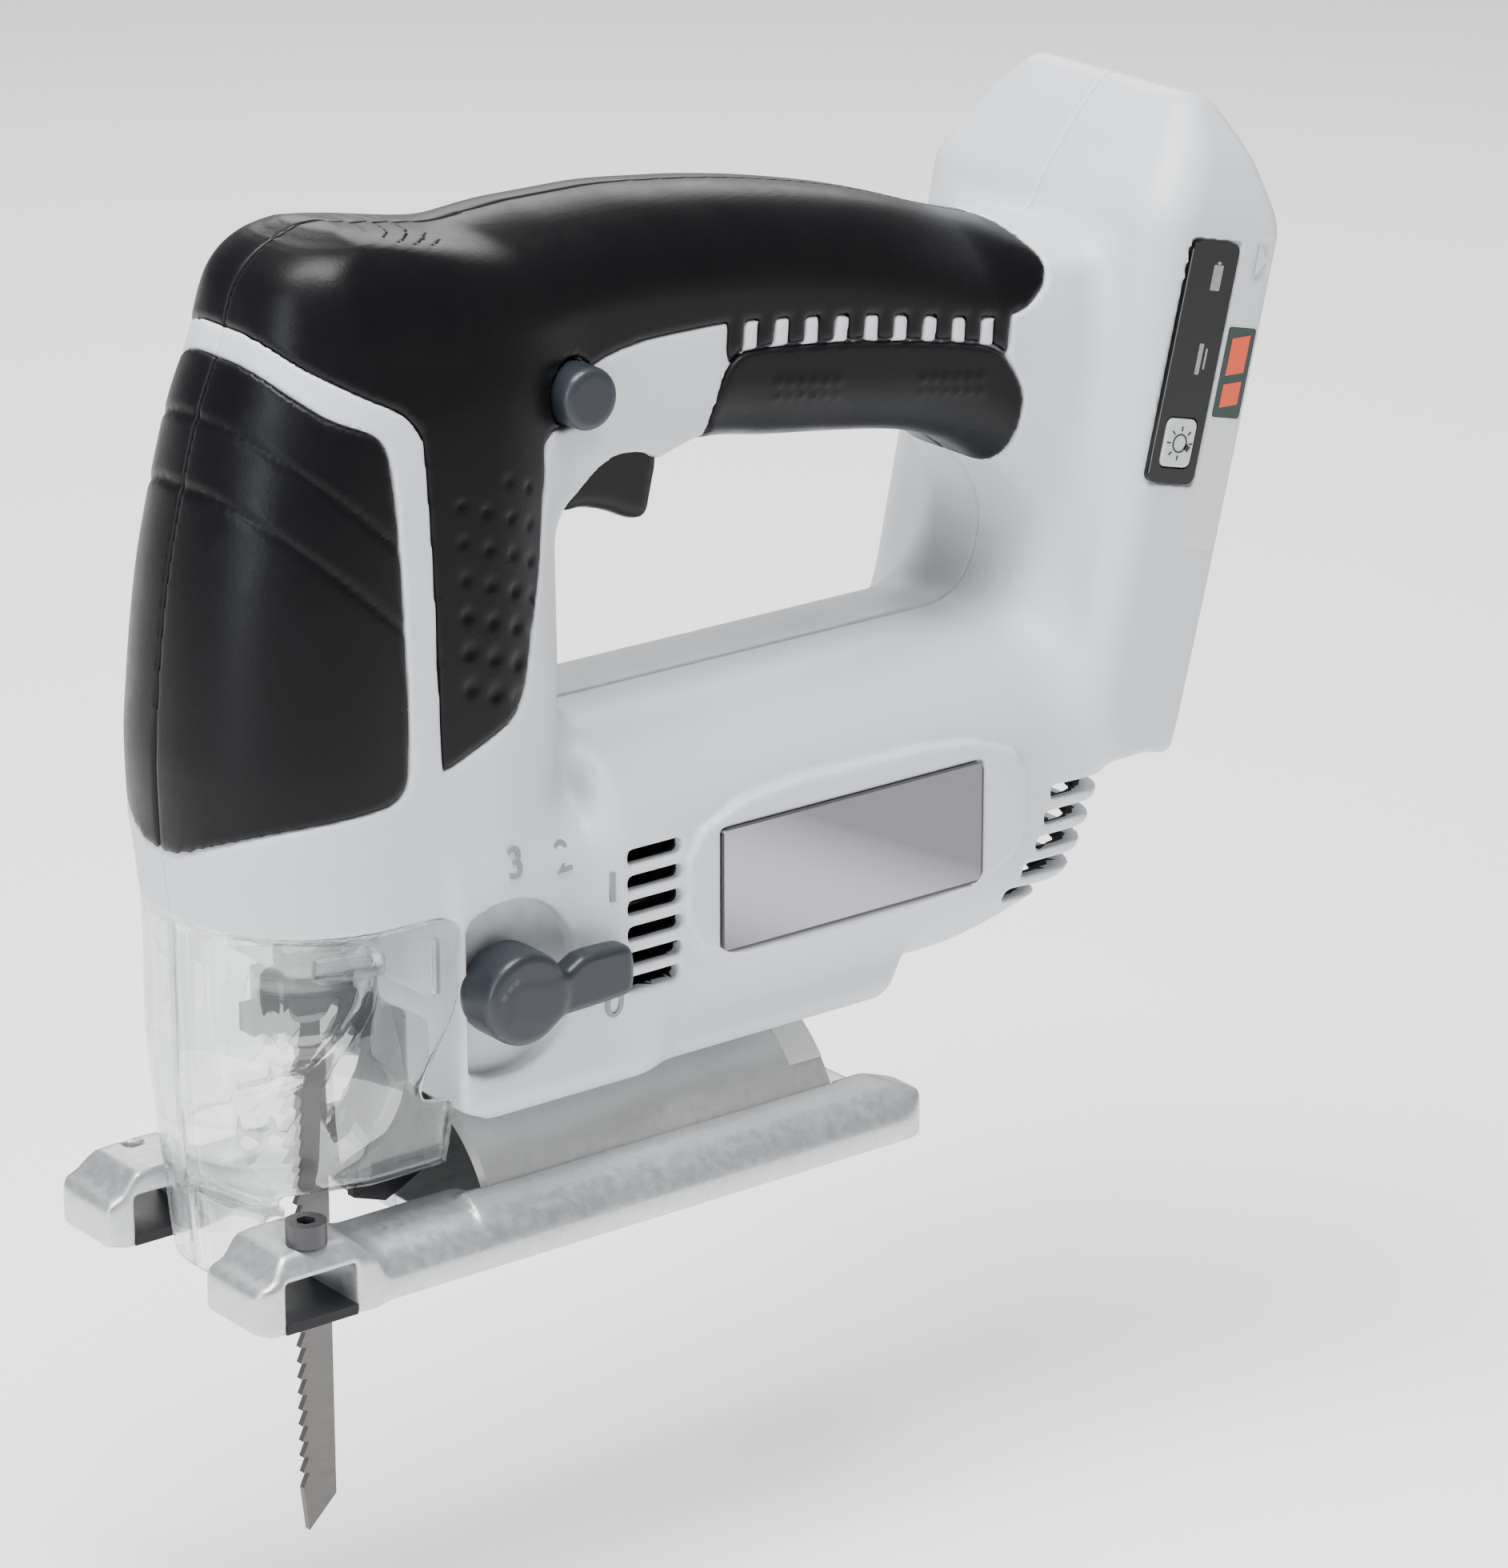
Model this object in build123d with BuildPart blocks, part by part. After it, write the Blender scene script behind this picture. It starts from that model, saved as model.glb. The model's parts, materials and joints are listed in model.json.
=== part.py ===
"""Cordless jigsaw, body only, with a blade fitted and no battery on it.

Millimetres.  +Z is up and the cutting direction is -X.  The origin lies on the sole, on the
mid-plane, under the plunger axis.  The tool's left side is -Y.
"""

import os
from math import acos, cos, pi, radians, sin, sqrt, tan

from build123d import *

os.makedirs("parts", exist_ok=True)

# ---- driving dimensions -------------------------------------------------------------------

LEFT, RIGHT = -1, 1

# fits
running = 0.05          # radial clearance of a shaft in its bore
slip = 0.3              # clearance round a piece that slides or swings by hand

# moulded body
wall = 2.8              # housing wall
pad = 1.4               # thickness of the rubber overmoulding
head_half = 28.5        # half width of the gear head
head_corner = 16.0
head_floor = 64.0       # underside of the head, above the blade chamber
column_rear = 48.0      # rear face of the front column
handle_half = 19.0
hub_half = 34.0         # half width of the battery hub
hub_tilt = 13.5         # lean of the battery hub, degrees
hub_length = 118.0
motor_axis = 56.5       # height of the motor's axis
barrel_radius = 31.0
barrel_front = 44.0
barrel_rear = 155.0
chin_front = 14.0       # front face of the lower body, behind the blade chamber
chin_half = 28.0
body_floor = 25.0       # underside of the lower body
foot_rear = 109.0
foot_half = 24.5

# drive
gear_module = 0.75
pinion_teeth = 10
gear_teeth = 56
profile_shift = 0.41    # moves the pinion's tooth outwards and the gear's inwards
pressure_angle = 20.0
backlash = 0.14
gear_width = 7.0
gear_front = 12.5       # front face of the drive gear
stroke = 22.0
crank_pin_radius = 2.5
crank_roller_radius = 4.0
axle_radius = 4.0
case_front, case_rear = 23.0, 28.0
rod_radius = 4.5

# motor
can_radius = 21.4
can_wall = 1.8
can_front, can_rear = 66.0, 124.0
shaft_radius = 2.5
bearing_radius = 8.0
bearing_width = 5.0
core_radius = 14.0
fan_radius = 23.0
fan_front, fan_rear = 49.0, 60.0

# plunger carrier, blade and guide
swing_x, swing_z = -8.6, 122.0      # pivot of the plunger carrier
swing_pin_radius = 2.5
bush_low = 54.0
holder_radius = 6.5
collar_radius = 9.0
collar_low, collar_high = 41.0, 50.0
holder_low = 38.5
blade_thick = 1.3
blade_back = 4.0
blade_width = 6.8
blade_tip = -55.4
tooth_pitch = 3.0
tooth_depth = 1.3
teeth_top = 34.0
guide_roller_radius = 4.5
guide_roller_z = 12.0
fork_pivot_x, fork_pivot_z = 24.0, 36.0
fork_pin_radius = 2.0

# shoe
sole_half = 32.0
sole_front, sole_rear = -31.5, 114.0
sole_thick = 3.5
slot_half = 15.0
slot_rear = 18.0
bracket_radius = 25.6
bracket_thick = 2.5
bracket_front, bracket_rear = 22.0, 97.0
shoe_travel = 8.0
fence_low, fence_high = 1.8, 9.3
fence_front, fence_rear = -25.5, -11.1
hump_top = 13.6
fence_screw_x, fence_screw_y = -18.3, 27.0
fence_hole_radius = 1.65
fence_head_radius = 3.53
clamp_screw_x = 52.0

# clear cover
cover_wall = 1.8
cover_low = 15.2
cover_rear = 13.6

# controls
knob_x, knob_z = 22.0, 49.8
knob_radius = 8.0
recess_radius = 16.0
lock_x, lock_z = 43.5, 148.5
lock_radius = 5.5
lock_travel = 3.5
lock_seat = 18.0        # floor of the button's well
trigger_front, trigger_rear = 50.0, 71.5
trigger_half = 7.8
trigger_travel = 6.0
light_travel = 0.8


# ---- helpers ------------------------------------------------------------------------------


def section_loft(sections):
    """A loft through rounded rectangles, each (plane, centre, width, height, corner)."""
    with BuildPart() as block:
        for plane, centre, width, height, corner in sections:
            with BuildSketch(plane):
                with Locations(centre):
                    RectangleRounded(width, height, corner)
        loft(ruled=True)
    return block.part


def block_between(low, high):
    """A box between two opposite corners."""
    size = [b - a for a, b in zip(low, high)]
    with BuildPart() as block:
        with Locations(tuple(low)):
            Box(*size, align=(Align.MIN, Align.MIN, Align.MIN))
    return block.part


def rod_between(start, end, radius):
    """A cylinder from one point to another."""
    axis = Vector(*end) - Vector(*start)
    with BuildPart() as rod:
        with BuildSketch(Plane(origin=start, z_dir=axis)):
            Circle(radius)
        extrude(amount=axis.length)
    return rod.part


def side_prism(points, low, high):
    """A side-view outline of (x, z) points, extruded from y = low to y = high."""
    with BuildPart() as prism:
        with BuildSketch(Plane.XZ.offset(-high)):
            with BuildLine():
                Polyline(*points, close=True)
            make_face()
        extrude(amount=high - low)
    return prism.part


def write(part, name):
    part.label = name
    export_step(part, f"parts/{name}.step")


def sided(side, low, high):
    """The (low, high) y range between two distances from the mid-plane, on one side."""
    return (low, high) if side == RIGHT else (-high, -low)


# ---- body envelope ------------------------------------------------------------------------

# head: (height, front, rear, share of the half width, share of the corner)
head_levels = [
    (head_floor, -26.0, 46.0, 1.0, 1.0),
    (92.0, -27.8, 46.5, 1.01, 1.0),
    (120.0, -25.2, 47.0, 0.965, 0.95),
    (139.0, -21.0, column_rear, 0.91, 0.9),
    (152.0, -17.0, column_rear, 0.83, 0.82),
    (165.0, -12.0, column_rear, 0.7, 0.74),
    (174.0, -8.0, 46.0, 0.56, 0.62),
    (179.0, -1.5, 40.0, 0.4, 0.5),
]

# handle: (x, underside, top, share of the half width)
handle_stations = [
    (4.0, 128.0, 176.0, 0.8),
    (30.0, 128.0, 177.4, 0.97),
    (60.0, 129.5, 177.4, 1.0),
    (85.0, 133.0, 175.2, 1.0),
    (110.0, 130.5, 170.2, 1.0),
    (132.0, 124.0, 163.4, 1.0),
    (153.0, 112.0, 156.5, 1.0),
]

# hub: (distance along the lean, front face, rear face, share of the half width, corner)
hub_foot = Vector(168.3, 0, 61.0)
hub_along = Vector(sin(radians(hub_tilt)), 0, cos(radians(hub_tilt)))
hub_back = Vector(cos(radians(hub_tilt)), 0, -sin(radians(hub_tilt)))
hub_stations = [
    (0.0, -16.5, 0.0, 0.97, 5.0),
    (7.0, -23.0, 0.0, 0.99, 6.0),
    (50.0, -25.0, 0.0, 1.0, 7.0),
    (hub_length - 23.0, -29.5, 0.0, 1.0, 8.0),
    (hub_length - 11.0, -25.0, -5.0, 0.9, 7.5),
    (hub_length, -19.0, -11.5, 0.64, 3.6),
]

# rear column between handle, barrel and hub: (height, front, rear, share of the handle half)
column_levels = [
    (45.0, 130.0, 153.0, 1.2),
    (88.0, 144.5, 163.0, 1.1),
    (115.0, 149.5, 168.0, 1.0),
    (152.0, 146.0, 178.0, 1.0),
]


def hub_plane(distance):
    return Plane(origin=hub_foot + hub_along * distance, x_dir=hub_back, z_dir=hub_along)


def hub_box(back, half, along):
    """A box in the hub's leaning frame: back and along are (low, high) pairs."""
    with BuildPart() as block:
        with BuildSketch(hub_plane(along[0])):
            with Locations(((back[0] + back[1]) / 2, 0)):
                Rectangle(back[1] - back[0], 2 * half)
        extrude(amount=along[1] - along[0])
    return block.part


def inset_ends(rows, inset):
    """Rows with the first and last positions drawn in by the inset."""
    first = (rows[0][0] + inset,) + rows[0][1:]
    last = (rows[-1][0] - inset,) + rows[-1][1:]
    return [first] + rows[1:-1] + [last]


def envelope(inset):
    """The whole body's outer shape, drawn in everywhere by the inset."""
    head = section_loft(
        [
            (
                Plane.XY.offset(level),
                ((front + rear) / 2, 0),
                rear - front - 2 * inset,
                2 * (share * head_half - inset),
                corner * head_corner - inset,
            )
            for level, front, rear, share, corner in inset_ends(head_levels, inset)
        ]
    )
    handle = section_loft(
        [
            (
                Plane.YZ.offset(x),
                (0, (low + high) / 2),
                2 * (share * handle_half - inset),
                high - low - 2 * inset,
                0.86 * share * handle_half - inset,
            )
            for x, low, high, share in handle_stations
        ]
    )
    hub = section_loft(
        [
            (
                hub_plane(distance),
                ((front + rear) / 2, 0),
                rear - front - 2 * inset,
                2 * (share * hub_half - inset),
                max(corner - inset, 0.6),
            )
            for distance, front, rear, share, corner in inset_ends(hub_stations, inset)
        ]
    )
    column = section_loft(
        [
            (
                Plane.XY.offset(level),
                ((front + rear) / 2, 0),
                rear - front - 2 * inset,
                2 * (share * handle_half - inset),
                7.0 - inset,
            )
            for level, front, rear, share in inset_ends(column_levels, inset)
        ]
    )
    with BuildPart() as barrel:
        with BuildSketch(Plane.XZ):
            with BuildLine():
                Polyline(
                    (barrel_front + inset, motor_axis),
                    (barrel_front + inset, motor_axis + barrel_radius - inset),
                    (barrel_rear - 13 - inset / 2, motor_axis + barrel_radius - inset),
                    (barrel_rear - 4 - inset / 2, motor_axis + barrel_radius - 5 - inset),
                    (barrel_rear - inset, motor_axis + barrel_radius - 12 - inset),
                    (barrel_rear - inset, motor_axis),
                    close=True,
                )
            make_face()
        revolve(axis=Axis((0, 0, motor_axis), (1, 0, 0)))
    chin = section_loft(
        [
            (
                Plane.YZ.offset(x),
                (0, (body_floor + chin_top) / 2),
                2 * (chin_half - inset),
                chin_top - body_floor - 2 * inset,
                7.0 - inset,
            )
            for x in (chin_front + inset, barrel_front + 14 - inset)
        ]
    )
    foot = section_loft(
        [
            (
                Plane.YZ.offset(x),
                (0, (body_floor + motor_axis) / 2),
                2 * (foot_half - inset),
                motor_axis - body_floor - 2 * inset,
                5.0 - inset,
            )
            for x in (chin_front + 8 + inset, foot_rear - inset)
        ]
    )
    # rounded box over the pinion, standing forward of the lower body under the head
    nose_front = gear_front - 0.5 - wall
    nose = section_loft(
        [
            (
                Plane.YZ.offset(x),
                (0, (nose_low + chin_top) / 2),
                2 * (nose_half - inset),
                chin_top - nose_low - 2 * inset,
                max(4.0 - inset, 0.6),
            )
            for x in (nose_front + inset, chin_front + 10 - inset)
        ]
    )
    with BuildPart() as body:
        for block in (head, handle, hub, column, barrel.part, chin, foot, nose):
            add(block)
    return body.part


pinion_tip = gear_module * (pinion_teeth / 2 + 1 + profile_shift)
nose_half = 19.5
chin_top = head_floor + 10.0    # the lower body runs up into the head
nose_low = motor_axis - pinion_tip - wall - 0.4

outer = envelope(0)
under_pad = envelope(pad)
inner = envelope(wall)
case_space = envelope(wall + slip)


# ---- rubber overmoulding regions, in side view --------------------------------------------

front_pad_outline = [(-40, 86), (-14, 85), (3, 87.5), (3.6, 144), (-6, 152.5), (-40, 171)]
grip_outline = [
    (-40, 177), (-40, 172.6), (-5.5, 154.2), (7.2, 146), (9.6, 90.8), (26, 96.5), (31, 107),
    (34, 123), (35.4, 142), (38, 150), (50, 153.2), (80, 155), (113, 151.6), (136, 146),
    (146, 148), (149, 153.5), (146.5, 159), (142.5, 164), (130, 185), (-10, 185),
]
finger_outline = [
    (74.6, 137), (76, 143.5), (80.8, 149.2), (108, 147), (136.6, 142.2), (140, 136.3),
    (143, 130.5), (142, 122), (133, 116), (124, 119), (100, 121), (84, 124), (76.6, 131.5),
]


lock_opening = rod_between((lock_x, -lock_seat, lock_z), (lock_x, -60, lock_z), lock_radius + slip)


def overmould(outline, side):
    """The rubber skin of one side within a side-view outline."""
    with BuildPart() as skin:
        add(outer)
        add(under_pad, mode=Mode.SUBTRACT)
        add(side_prism(outline, *sided(side, 0, 60)), mode=Mode.INTERSECT)
    return skin.part


overmoulds = {}
for name, outline in (
    ("front_pad", front_pad_outline),
    ("grip", grip_outline),
    ("finger_grip", finger_outline),
):
    # the skin can leave loose flakes where the outline crosses a hollow, so the largest is kept
    overmoulds["left_" + name] = overmould(outline, LEFT).solids().sort_by(SortBy.VOLUME)[-1]
    overmoulds["right_" + name] = overmoulds["left_" + name].mirror(Plane.XZ)

for name, skin in overmoulds.items():
    with BuildPart() as rubber:
        add(skin)
        if name == "left_grip":
            add(lock_opening, mode=Mode.SUBTRACT)
    write(rubber.part, name)


# ---- housing halves -----------------------------------------------------------------------

gear_pitch = gear_module * gear_teeth / 2
pinion_pitch = gear_module * pinion_teeth / 2
gear_axis = motor_axis + gear_pitch + pinion_pitch

# screw bosses: (x, z)
boss_points = [
    (8.0, 160.0),
    (38.0, 112.0),
    (96.0, 156.0),
    (138.0, 138.0),
    (96.0, motor_axis + barrel_radius - wall - 1.8),
    (96.0, motor_axis - barrel_radius + wall + 1.8),
    (154.0, 82.0),
]
boss_radius = 4.6
screw_radius = 1.45
screw_head_radius = 2.9
screw_head_depth = 13.0     # the heads sit this far from the mid-plane

bay_half = 26.0
bay_depth = 9.0
rail_depth = 3.6
rail_width = 4.0
bay_top = hub_length - 24.0

fork_half = 5.6
pocket_half = 9.5
pocket_rear = fork_pivot_x + 8.0
pocket_high = fork_pivot_z + 5.6

seat_rings = ((can_front + 5.0, 3.0), (can_rear - 8.0, 3.0))
rear_bearing_x = can_rear + 13.0
panel_low, panel_high = 50.0, 94.0
panel_front, panel_rear = -21.5, -10.0
panel_depth = 1.0
plate_low_z, plate_high_z = 46.3, 69.3
plate_front_x, plate_rear_x = 66.0, 124.6
plate_thick = 1.0
vent_height = 3.0
vent_pitch = 4.75
front_vent_x = (47.0, 58.6)
front_vent_z = 46.0
rear_vent_x = (137.0, 149.0)


recess_floor = chin_half - 2.2
knob_shaft = 3.0
lock_shaft = 2.5
lock_shaft_end = 20.0
side_panel_half = barrel_radius + 0.4
switch_front, switch_rear = 52.0, 84.0
switch_half = 8.0
switch_low, switch_high = 146.5, 162.0


def ring(x, length, outer_radius, inner_radius, height=motor_axis):
    """A ring round an axis along X."""
    with BuildPart() as band:
        with BuildSketch(Plane.YZ.offset(x)):
            with Locations((0, height)):
                Circle(outer_radius)
                Circle(inner_radius, mode=Mode.SUBTRACT)
        extrude(amount=length)
    return band.part


with BuildPart() as bay:
    add(hub_box((-bay_depth, -rail_depth), bay_half, (-2, bay_top)))
    add(hub_box((-rail_depth - 0.1, 3), bay_half - rail_width, (-2, bay_top)))
with BuildPart() as bay_wall:
    add(hub_box((-bay_depth - wall, 0), bay_half + wall, (0, bay_top + wall)))
    add(outer, mode=Mode.INTERSECT)

shoe_groove = rod_between(
    (bracket_front - 3, 0, 0), (bracket_rear + shoe_travel + 2, 0, 0), bracket_radius + slip
)
with BuildPart() as groove_wall:
    add(
        rod_between(
            (bracket_front - 3, 0, 0), (foot_rear, 0, 0), bracket_radius + slip + 2.0
        )
    )
    add(outer, mode=Mode.INTERSECT)

pocket = block_between(
    (chin_front - 12, -pocket_half, body_floor - 6), (pocket_rear, pocket_half, pocket_high)
)
with BuildPart() as pocket_wall:
    add(
        block_between(
            (chin_front, -pocket_half - 2, body_floor),
            (pocket_rear + 2, pocket_half + 2, pocket_high + 2),
        )
    )
    add(outer, mode=Mode.INTERSECT)

# opening in the head's floor that the plunger's yoke comes down through, and a dip beside it
# for the crank's roller
yoke_window = 18.7
rod_window = block_between(
    (-13.2, -yoke_window, head_floor - 1), (9.9, yoke_window, head_floor + wall + 1)
)
roller_dip = block_between(
    (0, -yoke_window, head_floor + 1.9), (gear_front - 0.4, yoke_window, head_floor + wall + 1)
)


def vents(side):
    """Front and rear rows of cooling slots on one side."""
    with BuildPart() as slots:
        for row in range(6):
            low = front_vent_z + row * vent_pitch
            y_range = sided(side, 20.0, 40.0)
            add(
                block_between(
                    (front_vent_x[0], y_range[0], low),
                    (front_vent_x[1], y_range[1], low + vent_height),
                )
            )
        for row in range(5):
            low = front_vent_z - 8.5 + row * vent_pitch
            y_range = sided(side, 12.0, 40.0)
            add(
                block_between(
                    (rear_vent_x[0] + row, y_range[0], low),
                    (barrel_rear + 2, y_range[1], low + vent_height),
                )
            )
    return slots.part


def shell_fittings():
    """The seats, webs and bosses moulded inside the shell, on both sides of the mid-plane."""
    fittings = [bay_wall.part, groove_wall.part, pocket_wall.part, side_panels()]
    for x, length in seat_rings:
        fittings.append(ring(x, length, barrel_radius - wall / 2, can_radius + running))
    fittings.append(
        ring(rear_bearing_x, bearing_width, bearing_radius + 4.0, bearing_radius + running)
    )
    # four webs carry the rear bearing seat out to the barrel
    near, far = bearing_radius + 3, barrel_radius - wall / 2
    for low, high in ((near, far), (-far, -near)):
        start, end = rear_bearing_x, rear_bearing_x + bearing_width
        fittings.append(
            block_between((start, -2.5, motor_axis + low), (end, 2.5, motor_axis + high))
        )
        fittings.append(
            block_between((start, low, motor_axis - 2.5), (end, high, motor_axis + 2.5))
        )
    for x, z in boss_points:
        fittings.append(boss(x, z, boss_radius))
    fittings.append(boss(swing_x, swing_z, swing_pin_radius + 2.5, 10.0))
    fittings.append(boss(fork_pivot_x, fork_pivot_z, fork_pin_radius + 2.2, pocket_half))
    fittings.append(boss(lock_x, lock_z, 5.2, 12.0))
    return fittings + [case_ribs(), switch_ribs()]


def housing_half(side):
    """One moulded half, cut from the whole shell."""
    keep = sided(side, 0, 60)
    name = "left" if side == LEFT else "right"
    skins = [skin for key, skin in overmoulds.items() if key.startswith(name)]
    with BuildPart() as half:
        add(shell.part)
        add(block_between((-60, keep[0], -5), (240, keep[1], 220)), mode=Mode.INTERSECT)
        if side == LEFT:
            add(knob_seat())
        add(skins + [vents(side)] + half_cuts(side), mode=Mode.SUBTRACT)
    return half.part


def boss(x, z, radius, start=0.0):
    """A boss along Y from a distance off the mid-plane out to the body's skin, both sides."""
    with BuildPart() as post:
        add(rod_between((x, -60, z), (x, 60, z), radius))
        if start:
            add(
                block_between((x - radius, -start, z - radius), (x + radius, start, z + radius)),
                mode=Mode.SUBTRACT,
            )
        add(boss_limit, mode=Mode.INTERSECT)
    return post.part


boss_limit = envelope(wall / 2)


def case_ribs():
    """Two short ribs on each side wall that hold the gear case's edges."""
    with BuildPart() as ribs:
        for x in (case_front - 2.2, case_rear + 0.2):
            add(block_between((x, -60, 84), (x + 2.0, -20, 96)))
            add(block_between((x, 20, 84), (x + 2.0, 60, 96)))
        add(boss_limit, mode=Mode.INTERSECT)
    return ribs.part


def half_cuts(side):
    """The holes and recesses that belong to one half."""
    cuts = []
    for x, z in boss_points:
        if side == LEFT:
            cuts.append(rod_between((x, 1, z), (x, -11, z), screw_radius))
        else:
            cuts.append(rod_between((x, -1, z), (x, screw_head_depth + 1, z), screw_radius + slip))
            cuts.append(
                rod_between((x, screw_head_depth, z), (x, 60, z), screw_head_radius + slip)
            )
    cuts.append(
        rod_between((swing_x, 0, swing_z), (swing_x, side * 18, swing_z), swing_pin_radius)
    )
    cuts.append(
        rod_between(
            (fork_pivot_x, 0, fork_pivot_z), (fork_pivot_x, side * 16, fork_pivot_z), fork_pin_radius
        )
    )
    cuts.append(
        rod_between(
            (lock_x, 0, lock_z), (lock_x, side * lock_shaft_end, lock_z), lock_shaft + running
        )
    )
    cuts.append(
        block_between(
            (trigger_front - slip, -trigger_half - slip, 110),
            (trigger_rear + slip, trigger_half + slip, 142),
        )
    )
    cuts.append(
        rod_between((clamp_screw_x, 0, 15), (clamp_screw_x, 0, nut_low + 1), clamp_radius + slip)
    )
    low, high = sided(side, side_panel_half - plate_thick, 60)
    cuts.append(
        block_between((plate_front_x, low, plate_low_z), (plate_rear_x, high, plate_high_z))
    )
    if side == LEFT:
        cuts.append(lock_opening)
        cuts.append(
            rod_between((knob_x, -recess_floor, knob_z), (knob_x, -60, knob_z), recess_radius)
        )
        cuts.append(rod_between((knob_x, -15, knob_z), (knob_x, -60, knob_z), knob_shaft + running))
        cuts.append(panel_block(hub_half - panel_depth, 60, 0.0))
        cuts.append(light_block(hub_half - 6.0, 60, slip))
    else:
        cuts.append(led_hole)
    return cuts


def side_panels():
    """The flat raised panels on the barrel's sides that carry the nameplates."""
    with BuildPart() as panels:
        for side in (LEFT, RIGHT):
            low, high = sided(side, 26.0, side_panel_half)
            add(
                block_between(
                    (plate_front_x - 7, low, plate_low_z - 3),
                    (plate_rear_x + 11, high, plate_high_z + 5),
                )
            )
        add(inner, mode=Mode.SUBTRACT)
    return panels.part


def switch_ribs():
    """Ribs that grip the switch from both sides."""
    with BuildPart() as ribs:
        for x in (switch_front + 4, switch_rear - 8):
            for side in (LEFT, RIGHT):
                low, high = sided(side, switch_half + 0.1, 60)
                add(block_between((x, low, switch_low + 4), (x + 3, high, switch_low + 11)))
        add(boss_limit, mode=Mode.INTERSECT)
    return ribs.part


def knob_seat():
    """The thickened wall behind the knob's recess."""
    with BuildPart() as seat:
        add(
            rod_between(
                (knob_x, -recess_floor, knob_z),
                (knob_x, -recess_floor + 2.4, knob_z),
                recess_radius + 1.5,
            )
        )
        add(block_between((-40, -60, knob_z - 30), (chin_front, 0, knob_z + 30)), mode=Mode.SUBTRACT)
    return seat.part


nut_low = bracket_radius + slip + 2.0
clamp_radius = 2.5
led_y, led_z = 9.5, 57.5
led_radius = 2.5
led_hole = rod_between(
    (gear_front - 6, led_y, led_z), (gear_front + 8, led_y, led_z), led_radius
)


def panel_block(low, high, extra):
    """A block on the hub's left side, between two distances from the mid-plane."""
    with BuildPart() as block:
        add(
            hub_box(
                (panel_front - extra, panel_rear + extra), high, (panel_low - extra, panel_high + extra)
            )
        )
        add(block_between((100, -low, 0), (260, 80, 260)), mode=Mode.SUBTRACT)
    return block.part


def light_block(low, high, extra):
    """The light button's block, at the lower end of the panel."""
    centre = panel_low + 7.5
    with BuildPart() as block:
        add(
            hub_box(
                (panel_front + 2.2 - extra, panel_rear - 2.2 + extra),
                high,
                (centre - 4.4 - extra, centre + 4.4 + extra),
            )
        )
        add(block_between((100, -low, 0), (260, 80, 260)), mode=Mode.SUBTRACT)
    return block.part


with BuildPart() as shell:
    add(outer)
    add(inner, mode=Mode.SUBTRACT)
    add(shell_fittings())
    add([bay.part, shoe_groove, pocket, rod_window, roller_dip], mode=Mode.SUBTRACT)

write(housing_half(LEFT), "left_housing")
write(housing_half(RIGHT), "right_housing")


# ---- pieces fixed to the housing ----------------------------------------------------------

for side, name in ((LEFT, "left_nameplate"), (RIGHT, "right_nameplate")):
    low, high = sided(side, side_panel_half - plate_thick, side_panel_half + 0.2)
    with BuildPart() as nameplate:
        add(
            block_between(
                (plate_front_x + 0.1, low, plate_low_z + 0.1),
                (plate_rear_x - 0.1, high, plate_high_z - 0.1),
            )
        )
        fillet(nameplate.edges().filter_by(Axis.Y), 2.0)
    write(nameplate.part, name)

with BuildPart() as control_panel:
    add(panel_block(hub_half - panel_depth, hub_half + 0.1, -0.1))
    add(light_block(hub_half - 8, 60, slip), mode=Mode.SUBTRACT)
write(control_panel.part, "control_panel")

with BuildPart() as light_button:
    add(light_block(hub_half - 2.2, hub_half + 0.5, 0))
write(light_button.part, "light_button")

board_outer = hub_half - wall - 0.3
with BuildPart() as control_board:
    add(hub_box((-18.5, -8.5), board_outer, (48, 90)))
    add(block_between((100, -board_outer + 1.6, 0), (260, 80, 260)), mode=Mode.SUBTRACT)
write(control_board.part, "control_board")

with BuildPart() as housing_screws:
    for x, z in boss_points:
        add(rod_between((x, -10.5, z), (x, screw_head_depth, z), screw_radius))
        add(rod_between((x, screw_head_depth, z), (x, screw_head_depth + 2.4, z), screw_head_radius))
        with BuildSketch(Plane.XZ.offset(-screw_head_depth - 2.4)):
            with Locations((x, z)):
                Rectangle(4.2, 0.8)
                Rectangle(0.8, 4.2)
        extrude(amount=1.2, mode=Mode.SUBTRACT)
write(housing_screws.part, "housing_screws")

with BuildPart() as terminal_block:
    add(hub_box((-bay_depth, -rail_depth - 0.6), 12.0, (bay_top - 26, bay_top - 0.2)))
write(terminal_block.part, "terminal_block")

with BuildPart() as terminals:
    for y in (-8.0, 0.0, 8.0):
        with BuildSketch(hub_plane(bay_top - 38)):
            with Locations((-bay_depth + 2.6, y)):
                Rectangle(4.0, 0.9)
        extrude(amount=12.0)
write(terminals.part, "terminals")

with BuildPart() as led_lamp:
    add(rod_between((gear_front - 3.6, led_y, led_z), (gear_front + 7.5, led_y, led_z), led_radius))
write(led_lamp.part, "led_lamp")

with BuildPart() as switch_body:
    add(
        block_between(
            (switch_front, -switch_half, switch_low), (switch_rear, switch_half, switch_high)
        )
    )
write(switch_body.part, "switch_body")

case_half = 22.4
with BuildPart() as gear_case:
    add(
        block_between(
            (case_front, -case_half, pocket_high + 2.5),
            (case_rear, case_half, gear_axis + gear_pitch + 12),
        )
    )
    add(case_space, mode=Mode.INTERSECT)
    add(
        rod_between((case_front - 1, 0, gear_axis), (case_rear + 1, 0, gear_axis), axle_radius),
        mode=Mode.SUBTRACT,
    )
    add(
        rod_between((case_front - 1, 0, motor_axis), (case_rear + 1, 0, motor_axis), bearing_radius),
        mode=Mode.SUBTRACT,
    )
    add(rod_between((knob_x, -60, knob_z), (knob_x, -9, knob_z), knob_shaft + 1), mode=Mode.SUBTRACT)
    for y in (-15.0, 15.0):
        add(
            rod_between((case_front - 1, y, gear_axis), (case_rear + 1, y, gear_axis), 4.0),
            mode=Mode.SUBTRACT,
        )
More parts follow.
